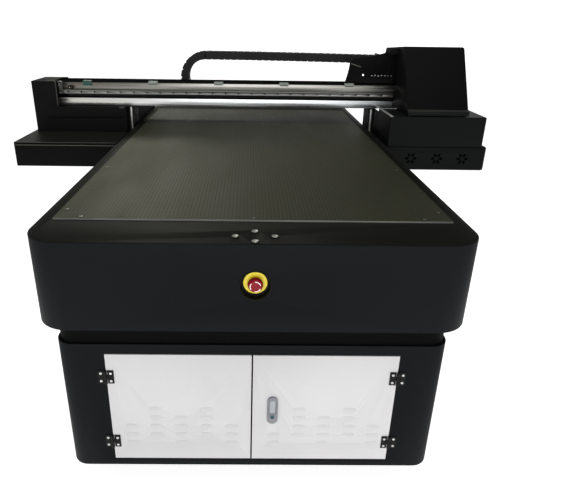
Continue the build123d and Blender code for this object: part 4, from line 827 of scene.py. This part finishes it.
# ---- legs, covers and tray
cover_low, cover_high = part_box("left_cover")
tray_low, tray_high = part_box("left_side_box")
station_low, station_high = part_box("station_upper")
TRIM_WIDTH, LEG_THICKNESS = 0.008, 0.02
leg_front, leg_inner = cover_low.y + 0.028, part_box("gantry_legs")[1].x - LEG_THICKNESS
for side, side_name in ((-1, "left"), (1, "right")):
    near, far = side * (leg_inner + 0.0005), side * (leg_inner + 0.0005 + TRIM_WIDTH)
    boxes(f"{side_name}_leg_trim",
          [((min(near, far), leg_front - 0.0018, tray_high.z + 0.01),
            (max(near, far), leg_front + 0.001, beam_low.z - 0.003))],
          "trim_bright", "gantry", 0.0006)
screws("leg_bolts", [((side * leg_inner, y, z), "-X" if side > 0 else "X") for side in (-1, 1)
                     for y in (leg_front + 0.03, leg_front + 0.11)
                     for z in (beam_low.z - 0.022, beam_low.z - 0.06)],
       "bolt_black", "gantry", (0.005, 0.003))

bm = bmesh.new()
flap_top, flap_bottom, hem_bottom = (cover_low.z + z for z in (0.1095, 0.0655, 0.117))
flap_x = (cover_low.x + 0.055, cover_high.x - 0.006)
box(bm, (flap_x[0], cover_low.y - 0.0026, flap_bottom), (flap_x[1], cover_low.y + 0.001, flap_top))
# A near-black strip under the flap's lower edge: painted shadow.
box(bm, (flap_x[0] + 0.004, cover_low.y - 0.0012, flap_bottom - 0.0035),
    (flap_x[1] - 0.004, cover_low.y + 0.001, flap_bottom + 0.002), 1)
piece("leg_cover_flap", bm, ("gantry_paint", "gap_painted_shade"), "gantry",
      bevel=0.0008)
bm = bmesh.new()
box(bm, (cover_high.x - 0.03, cover_low.y - 0.0035, flap_top - 0.003),
    (cover_high.x - 0.008, cover_low.y + 0.01, flap_top + 0.0045))
screw(bm, (cover_high.x - 0.019, cover_low.y - 0.0035, flap_top + 0.0005), "-Y", 0.0026, 0.0014, 1)
piece("leg_cover_catch", bm, ("catch_grey", "bolt_black"), "gantry",
      bevel=0.0008)
hem_x = cover_low.x + 0.11
# A hem strip down the cover in a lighter paint: painted highlight on its edge.
boxes("left_cover_hem_highlight",
      [((hem_x - 0.0045, cover_low.y - 0.0005, hem_bottom),
        (hem_x + 0.0003, cover_low.y + 0.0035, cover_high.z - 0.001))],
      "cover_edge", "gantry", 0.0012)
# Two lighter lines along the tray's top front edge and the hem below it: painted highlights.
boxes("tray_hem_highlights",
      [((tray_low.x + 0.004, tray_low.y - 0.0008, tray_high.z - 0.0125),
        (tray_high.x - 0.004, tray_low.y + 0.0015, tray_high.z - 0.01)),
       ((tray_low.x + 0.004, tray_low.y + 0.001, tray_high.z - 0.0006),
        (tray_high.x - 0.004, tray_low.y + 0.0042, tray_high.z + 0.0007))],
      "tray_edge", "gantry", 0.0005)

# ---- printing station
# A bright strip along the station's top left edge: painted highlight.
boxes("station_edge_highlight",
      [((station_low.x + 0.0005, station_low.y + 0.003, station_high.z - 0.0004),
        (station_low.x + 0.013, station_high.y - 0.018, station_high.z + 0.002))],
      "trim_soft", "gantry", 0.0008)
lower_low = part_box("station_lower")[0]
VENT_FIRST, VENT_STEP, VENT_HEIGHT = 0.106, 0.1105, 0.051
bm = bmesh.new()
for i in range(3):
    lathe(bm, (lower_low.x + VENT_FIRST + i * VENT_STEP, lower_low.y + 0.0045,
               lower_low.z + VENT_HEIGHT), "-Y",
          [(0.0265, -0.0012)] + [(0.025 - 0.0025 * k, 0.0006 * (k % 2)) for k in range(10)]
          + [(0, 0.0006), (0, -0.0012)], 40)
piece("station_vent_screens", bm, "vent_screen", "gantry", angle=20)
screws("station_side_screws", [((station_high.x, y, z), "X")
                               for y in (station_low.y + 0.03, station_high.y - 0.03)
                               for z in (station_low.z + 0.02, station_high.z - 0.02)],
       "bolt_black", "gantry", (0.004, 0.0022))

refined("capping_unit", 0.0008, "bare_aluminium")
HEAD_PITCH, HEAD_WIDTH, HEAD_LENGTH = 0.044, 0.034, 0.114
heads_low, heads_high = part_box("print_heads")
head_xs = [centre_of("print_heads")[0] + i * HEAD_PITCH for i in (-1, 0, 1)]
near, far = heads_low.y, heads_low.y + HEAD_LENGTH
half, wall, top = HEAD_WIDTH / 2, 0.003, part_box("capping_unit")[1].z
bm = bmesh.new()
for x in head_xs:
    for a, b, c, d in ((x - half, x + half, near, near + wall),
                       (x - half, x + half, far - wall, far),
                       (x - half, x - half + wall, near, far),
                       (x + half - wall, x + half, near, far)):
        box(bm, (a, c, top - 0.0002), (b, d, top + 0.0022))
    box(bm, (x - half + wall, near + wall, top - 0.0078),
        (x + half - wall, far - wall, top - 0.0066), 1)
piece("capping_lips", bm, ("black_rubber", "foam_grey"), "gantry", bevel=0.0006)

# ---- carriage
car_low, car_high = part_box("carriage_cover")
screws("carriage_side_screws", [((car_high.x, y, car_high.z - down), "X")
                                for y in (car_low.y + 0.2, car_high.y - 0.04)
                                for down in (0.137, 0.057)],
       "bolt_black", "carriage", (0.004, 0.0022))

FAN_RADIUS = 0.036
bm = bmesh.new()
for x in (car_low.x + 0.07, car_high.x - 0.07):
    centre = (x, car_high.y, car_high.z - 0.07)
    lathe(bm, centre, "Y", [(FAN_RADIUS + 0.006, -0.001), (FAN_RADIUS + 0.006, 0.0016),
                            (FAN_RADIUS + 0.004, 0.0024), (FAN_RADIUS, 0.0024),
                            (FAN_RADIUS, 0.0004), (0, 0.0004)], 48, 1)
    for r in (0.009, 0.017, 0.025, 0.032):
        lathe(bm, centre, "Y", [(r - 0.0011, 0.001), (r - 0.0011, 0.0026), (r + 0.0011, 0.0026),
                                (r + 0.0011, 0.001)], 40)
    for turn in range(4):
        angle = radians(45 + 90 * turn)
        away = Vector((cos(angle), 0, sin(angle)))
        along = Vector((-sin(angle), 0, cos(angle)))
        tip = FAN_RADIUS + 0.002
        ends = [Vector(centre) + away * r + along * w
                for r, w in ((0, -0.0012), (tip, -0.0012), (tip, 0.0012), (0, 0.0012))]
        prism(bm, [(p.x, p.z) for p in ends], "Y", car_high.y + 0.0008, car_high.y + 0.0022)
piece("carriage_fan_grilles", bm, ("rail_steel", "black_plastic"), "carriage")

# Heads and lamps.
bm = bmesh.new()
lamp_low, lamp_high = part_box("uv_lamps")
for x in head_xs:
    box(bm, (x - half, near, heads_low.z + 0.002), (x + half, far, heads_high.z - 0.034))
    box(bm, (x - half - 0.002, near, heads_high.z - 0.034),
        (x + half + 0.002, far + 0.004, heads_high.z - 0.004))
    box(bm, (x - half + 0.004, near + 0.006, heads_low.z + 0.0002),
        (x + half - 0.004, far - 0.006, heads_low.z + 0.003), 1)
    for row in (-0.006, 0, 0.006):
        box(bm, (x + row - 0.0005, near + 0.014, heads_low.z),
            (x + row + 0.0005, far - 0.014, heads_low.z + 0.001), 2)
    box(bm, (x - 0.011, near + 0.03, heads_high.z - 0.005),
        (x + 0.011, near + 0.06, heads_high.z), 2)
    for y in (near + 0.014, far - 0.014):
        lathe(bm, (x, y, heads_high.z - 0.005), "Z", [(0.004, 0), (0.004, 0.003), (0.003, 0.005),
                                                      (0, 0.005)], 20, 1)
piece("print_heads_finished", bm, ("head_grey", "nickel", "black_plastic"), body_of["print_heads"],
      ("print_heads",), bevel=0.0005)
bm = bmesh.new()
LAMP_WIDTH = 0.036
for left in (lamp_low.x, lamp_high.x - LAMP_WIDTH):
    right = left + LAMP_WIDTH
    box(bm, (left, lamp_low.y, lamp_low.z + 0.004), (right, lamp_high.y, lamp_high.z - 0.018))
    box(bm, (left + 0.004, lamp_low.y + 0.004, lamp_low.z + 0.001),
        (right - 0.004, lamp_high.y - 0.004, lamp_low.z + 0.0045), 1)
    for i in range(14):
        y = lamp_low.y + 0.004 + i * (lamp_high.y - lamp_low.y - 0.01) / 13
        box(bm, (left + 0.001, y, lamp_high.z - 0.019), (right - 0.001, y + 0.0022, lamp_high.z))
piece("uv_lamps_finished", bm, ("bare_aluminium", "lamp_glass"), body_of["uv_lamps"],
      ("uv_lamps",), bevel=0.0004)

# ---- cable chain
upper_low, upper_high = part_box("chain_upper")
lower_low, lower_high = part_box("chain_lower")
LINK_PITCH, LINK_HEIGHT = 0.0304, 0.037
TONGUE_HEIGHT, TONGUE_INSET, SLOPE, CARRIAGE_TRAVEL = 0.03, 0.015, 0.009, 1.32
chain_y, chain_w = centre_of("chain_upper")[1], upper_high.y - upper_low.y
bend_r = (upper_high.z - lower_low.z) / 2
bend_x, bend_z = upper_low.x, (upper_high.z + lower_low.z) / 2
link_mid = (upper_high.z - upper_low.z) / 2


def chain_link(bm, place, pitch, height, width, odd):
    """Two side plates joined by cross bars; place has X along the chain and Z outward."""
    half, reach = height / 2, pitch * 0.6
    outline = [(-reach, -half * 0.55), (-reach + 0.006, -half), (reach - 0.006, -half),
               (reach, -half * 0.55), (reach, half * 0.55), (reach - 0.006, half),
               (-reach + 0.006, half), (-reach, half * 0.55)]
    inset, thick = (0.0022 if odd else 0.0), 0.0024
    before = len(bm.verts)
    for side in (-1, 1):
        outer = side * (width / 2 - inset)
        prism(bm, outline, "Y", outer, outer - side * thick)
    for low, high in ((half - 0.0032, half - 0.0004), (-half + 0.0004, -half + 0.0032)):
        box(bm, (-pitch * 0.27, -width / 2 + 0.003, low), (pitch * 0.27, width / 2 - 0.003, high))
    for vertex in list(bm.verts)[before:]:
        vertex.co = place @ vertex.co


def chain_row(bm, start, span, z, height, width, slope=0.0):
    """A straight row of links along X that may sink towards its far end."""
    count = round(span / LINK_PITCH)
    for i in range(count):
        along = (i + 0.5) * span / count
        place = (start + along, chain_y, z - slope * (along / span) ** 1.6)
        chain_link(bm, Matrix.Translation(place), span / count, height, width, i % 2)


bm = bmesh.new()
upper_span = upper_high.x - upper_low.x
chain_row(bm, upper_low.x, upper_span, upper_high.z - link_mid, LINK_HEIGHT, chain_w, SLOPE)
upper_links = piece("chain_upper_links", bm, "chain_plastic", "carriage",
                    ("chain_upper",), angle=25)

bm = bmesh.new()
BEND_COUNT = 10
middle_r = bend_r - link_mid
for i in range(BEND_COUNT):
    angle = pi / 2 + pi * (i + 0.5) / BEND_COUNT
    outward = Vector((cos(angle), 0, sin(angle)))
    along = Vector((sin(angle), 0, -cos(angle)))
    turn = Matrix((along, (0, 1, 0), outward)).transposed().to_4x4()
    centre = Vector((bend_x, chain_y, bend_z)) + outward * middle_r
    chain_link(bm, Matrix.Translation(centre) @ turn, pi * middle_r / BEND_COUNT,
               LINK_HEIGHT, chain_w, i % 2)
chain_row(bm, bend_x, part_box("chain_bend")[1].x - bend_x, lower_low.z + link_mid, TONGUE_HEIGHT,
          chain_w - TONGUE_INSET)
piece("chain_bend_links", bm, "chain_plastic", "bend", ("chain_bend",), angle=25)

bm = bmesh.new()
chain_row(bm, lower_low.x, lower_high.x - lower_low.x, lower_low.z + link_mid, LINK_HEIGHT,
          chain_w)
piece("chain_lower_links", bm, "chain_plastic", "gantry", ("chain_lower",),
      angle=25)
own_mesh(upper_links)

# Bracket details: a bright clamp screw, a row of rivets, the edge of a folded stay in a lighter
# paint as a painted highlight, a gusset.
bracket_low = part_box("chain_bracket")[0]
bracket_y = bracket_low.y + 0.056


def on_bracket(right, up):
    """A point on the bracket's plate, from the lower left corner of the bracket's box."""
    return bracket_low.x + right, bracket_low.z + up


DOT_FIRST, DOT_PITCH, DOT_COUNT, DOT_UP = 0.122, 0.015, 7, 0.032
bm = bmesh.new()
x, z = on_bracket(DOT_FIRST - 0.041, DOT_UP + 0.003)
screw(bm, (x, bracket_y, z), "-Y", 0.005, 0.003)
for i in range(DOT_COUNT):
    x, z = on_bracket(DOT_FIRST + i * DOT_PITCH, DOT_UP)
    lathe(bm, (x, bracket_y + 0.002, z), "-Y",
          [(0.0021, 0), (0.0021, 0.0024), (0.0014, 0.003), (0, 0.003)], 16)
piece("bracket_fasteners", bm, "bright_screw", "carriage")
bm = bmesh.new()
prism(bm, [on_bracket(a, b) for a, b in ((0.022, 0.0818), (0.07, 0.0668), (0.07, 0.0712),
                                         (0.022, 0.0862))],
      "Y", bracket_y - 0.002, bracket_y + 0.001)
piece("bracket_stay", bm, "tray_edge", "carriage", bevel=0.0006)
bm = bmesh.new()
prism(bm, [on_bracket(a, b) for a, b in ((0.206, -0.0015), (0.272, -0.0015), (0.272, 0.022),
                                         (0.26, 0.03), (0.206, 0.03))],
      "Y", bracket_y + 0.0055, bracket_y + 0.0085)
for right in (0.232, 0.254):
    x, z = on_bracket(right, 0.012)
    screw(bm, (x, bracket_y + 0.0055, z), "-Y", 0.003, 0.0016, 1)
piece("bracket_gusset", bm, ("gantry_paint", "bolt_black"), "carriage",
      bevel=0.0006)

# ---- rails and belts of the bed
yrail_low, yrail_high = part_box("y_rails")
ybelt_low, ybelt_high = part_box("y_belts")
bm = bmesh.new()
rail_mid = centre_of("y_rails")[2]
BED_RAIL_PITCH = 0.08
for side, face in ((-1, yrail_low.x), (1, yrail_high.x)):
    axis = "X" if side > 0 else "-X"
    for i in range(int((yrail_high.y - yrail_low.y) / BED_RAIL_PITCH)):
        y = yrail_low.y + BED_RAIL_PITCH / 2 + i * BED_RAIL_PITCH
        place = (face - side * 0.0003, y, rail_mid)
        # A near-black disc under each bolt head: painted shade.
        lathe(bm, place, axis, [(0.0052, 0), (0.0052, 0.00035)], 24, 1)
        lathe(bm, place, axis,
              [(0.004, 0.0003), (0.004, 0.00045), (0.0022, 0.00045), (0.002, 0.00038)], 6)
piece("bed_rail_bolts", bm, ("rail_steel", "gap_painted_shade"), "base")
bm = bmesh.new()
TEETH_PITCH = 0.008
for low_x, high_x in ((ybelt_low.x, ybelt_low.x + 0.025), (ybelt_high.x - 0.025, ybelt_high.x)):
    for i in range(int((ybelt_high.y - ybelt_low.y - 0.068) / TEETH_PITCH)):
        y = ybelt_low.y + 0.034 + i * TEETH_PITCH
        prism(bm, [(y, ybelt_low.z + 0.0028), (y + 0.004, ybelt_low.z + 0.0028),
                   (y + 0.003, ybelt_low.z + 0.005), (y + 0.001, ybelt_low.z + 0.005)],
              "X", low_x + 0.0005, high_x - 0.0005)
piece("bed_belt_teeth", bm, "black_rubber", "base")

# ---- cabinet, feet and rear
feet_low, feet_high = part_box("levelling_feet")
foot_r = 0.04
foot_xs = (feet_low.x + foot_r, feet_high.x - foot_r)
foot_ys = (feet_low.y + foot_r, 0, feet_high.y - foot_r)
bm = bmesh.new()
for x in foot_xs:
    for y in foot_ys:
        lathe(bm, (x, y, 0), "Z", [(foot_r - 0.003, 0), (foot_r, 0.0015), (foot_r, 0.005),
                                   (foot_r - 0.001, 0.006)], 48, 1)
        lathe(bm, (x, y, 0.006), "Z",
              [(foot_r - 0.001, 0), (foot_r - 0.001, 0.006), (foot_r - 0.004, 0.0085),
               (0.018, 0.0165), (0.016, 0.02), (0.01, 0.02)], 48)
        thread = [(0.0095 + 0.0007 * (i % 2), 0.024 + i * 0.0014) for i in range(34)]
        lathe(bm, (x, y, 0), "Z", thread, 28, 2)
        for z in (0.0275, feet_high.z - 0.0095):
            lathe(bm, (x, y, z), "Z", [(0.0155, 0), (0.0165, 0.001), (0.0165, 0.008),
                                       (0.0155, 0.009), (0.01, 0.009)], 6, 2)
piece("levelling_feet_finished", bm, ("cast_grey", "black_rubber", "rail_steel"), "base",
      ("levelling_feet",), angle=28)

cab_low, cab_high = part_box("cabinet_panels")
inlet_low, inlet_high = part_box("power_inlet")
inlet_x, _, inlet_z = centre_of("power_inlet")
refined("power_inlet", 0.0008, "black_plastic")
bm = bmesh.new()
for x, z in ((-0.007, -0.002), (0.007, -0.002), (0, 0.004)):
    box(bm, (inlet_x + x - 0.001, inlet_low.y + 0.0008, inlet_z + z - 0.002),
        (inlet_x + x + 0.001, inlet_high.y - 0.0008, inlet_z + z + 0.002))
for x in (-1, 1):
    screw(bm, (inlet_x + x * 0.026, inlet_high.y, inlet_z), "Y", 0.003, 0.0015)
piece("power_inlet_pins", bm, "nickel", "base", bevel=0.0002)
heights = (cab_low.z + 0.016, cab_high.z - 0.016)
places = [((side * cab_high.x, cab_low.y + 0.1 + i * (cab_high.y - cab_low.y - 0.2) / 5, z),
           "X" if side > 0 else "-X") for side in (-1, 1) for i in range(6) for z in heights]
places += [((cab_low.x + 0.09 + i * (cab_high.x - cab_low.x - 0.18) / 4, cab_high.y, z), "Y")
           for i in range(5) for z in heights]
screws("cabinet_screws", places, "bolt_black", "base", (0.0042, 0.0022))

blow_low, blow_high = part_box("vacuum_blower")
CASING_RIGHT, CASING_BACK, CASING_BASE = 0.115, 0.735, 0.04
blow_x, blow_y = blow_high.x - CASING_RIGHT, blow_high.y - CASING_BACK
bm = bmesh.new()
lathe(bm, (blow_x, blow_y, blow_low.z + CASING_BASE), "Z",
      [(0.1, -0.04), (0.1, 0)] +
      [(0.115 - 0.003 * (i % 2), 0.001 + i * 0.009) for i in range(13)] +
      [(0.1, 0.112), (0.06, 0.112), (0.058, 0.125), (0.05, 0.126)], 64)
for i in range(3):
    lathe(bm, (blow_x, blow_y, blow_low.z + 0.175 + i * 0.12), "Z",
          [(0.05, 0), (0.0535, 0.001), (0.0535, 0.011), (0.05, 0.012)], 48, 1)
piece("blower_casing_ribs", bm, ("cast_grey", "rail_steel"), "base")

# ---- floor, lights and camera
def studio_floor():
    """A wide pale floor that curves up into a low wall far behind."""
    bm = bmesh.new()
    reach, curve_start, wall = 30.0, 12.0, 2.2
    rows = [(-reach, 0.0), (curve_start, 0.0)]
    rows += [(curve_start + sin(a), 1 - cos(a))
             for a in (i * pi / 16 for i in range(1, 9))]
    rows.append((curve_start + 1, wall))
    previous = None
    for y, z in rows:
        edge = [bm.verts.new((x, y, z)) for x in (-reach, reach)]
        if previous:
            bm.faces.new((previous[0], previous[1], edge[1], edge[0]))
        previous = edge
    mesh = bpy.data.meshes.new("studio_floor")
    bm.to_mesh(mesh)
    bm.free()
    g = Graph("studio_white", (0.9, 0.9, 0.9), 0.85)
    g.set("Emission Color", (1, 1, 1, 1))
    g.set("Emission Strength", 0.75)
    clouds = g.noise(0.6, 2)
    g.color(g.mix(g.spread(clouds, 0, 1), (0.895, 0.895, 0.895), (0.905, 0.905, 0.905)))
    obj = new_object("studio_floor", mesh, ("studio_white",))
    finish_mesh(mesh, 60)


def area_light(name, place, target, size, power, color=(1, 1, 1), spread=180):
    light = bpy.data.lights.new(name, "AREA")
    light.shape = "RECTANGLE"
    light.size, light.size_y = size
    light.energy = power
    light.spread = radians(spread)
    light.color = color
    obj = new_object(name, light)
    obj.location = place
    obj.rotation_euler = (Vector(target) - Vector(place)).to_track_quat("-Z", "Y").to_euler()


studio_floor()
area_light("soft_overhead", (0.0, -0.8, 4.4), (0, -0.2, 0.7), (4.0, 3.0), 60)
area_light("front_fill", (0.1, -5.6, 1.9), (0.05, -0.8, 0.4), (4.0, 2.4), 106)
area_light("back_sheen", (-1.35, 4.4, 3.5), (-0.2, -0.75, 0.74), (2.0, 1.5), 1.9,
           (1.0, 1.0, 0.84), 24)


def studio_sky(horizon, overhead, start, stop):
    """A world that is bright at the horizon and dimmer overhead."""
    world = bpy.data.worlds.new("studio")
    world.use_nodes = True
    tree = world.node_tree
    place, split, ramp = (tree.nodes.new(f"ShaderNode{kind}")
                          for kind in ("TexCoord", "SeparateXYZ", "MapRange"))
    for socket, value in (("From Min", start), ("From Max", stop), ("To Min", horizon),
                          ("To Max", overhead)):
        ramp.inputs[socket].default_value = value
    tree.links.new(place.outputs["Generated"], split.inputs[0])
    tree.links.new(split.outputs["Z"], ramp.inputs["Value"])
    background = tree.nodes["Background"]
    background.inputs["Color"].default_value = (1, 1, 1, 1)
    tree.links.new(ramp.outputs[0], background.inputs["Strength"])
    return world


bpy.context.scene.world = studio_sky(1.0, 0.22, 0.12, 0.3)

LENS, SENSOR, SHIFT, CAMERA_PLACE = 33.6, 36.0, 0.0541, (-0.0182, -2.2021, 1.2093)
PITCH, YAW, ROLL = (radians(a) for a in (22.945, 0.614, 0.772))
forward = Vector((sin(YAW) * cos(PITCH), cos(YAW) * cos(PITCH),
                  -sin(PITCH)))
level = Vector((cos(YAW), -sin(YAW), 0))
upright = level.cross(forward)
right = level * cos(ROLL) + upright * sin(ROLL)
up = upright * cos(ROLL) - level * sin(ROLL)
camera = bpy.data.cameras.new("camera")
camera.lens, camera.sensor_width, camera.sensor_fit = LENS, SENSOR, "HORIZONTAL"
camera.shift_x = SHIFT
camera.clip_end = 100
camera_object = new_object("camera", camera)
rotation = Matrix((right, up, -forward)).transposed().to_4x4()
camera_object.matrix_world = Matrix.Translation(CAMERA_PLACE) @ rotation
bpy.context.scene.camera = camera_object
bpy.context.scene.view_settings.view_transform = "Standard"
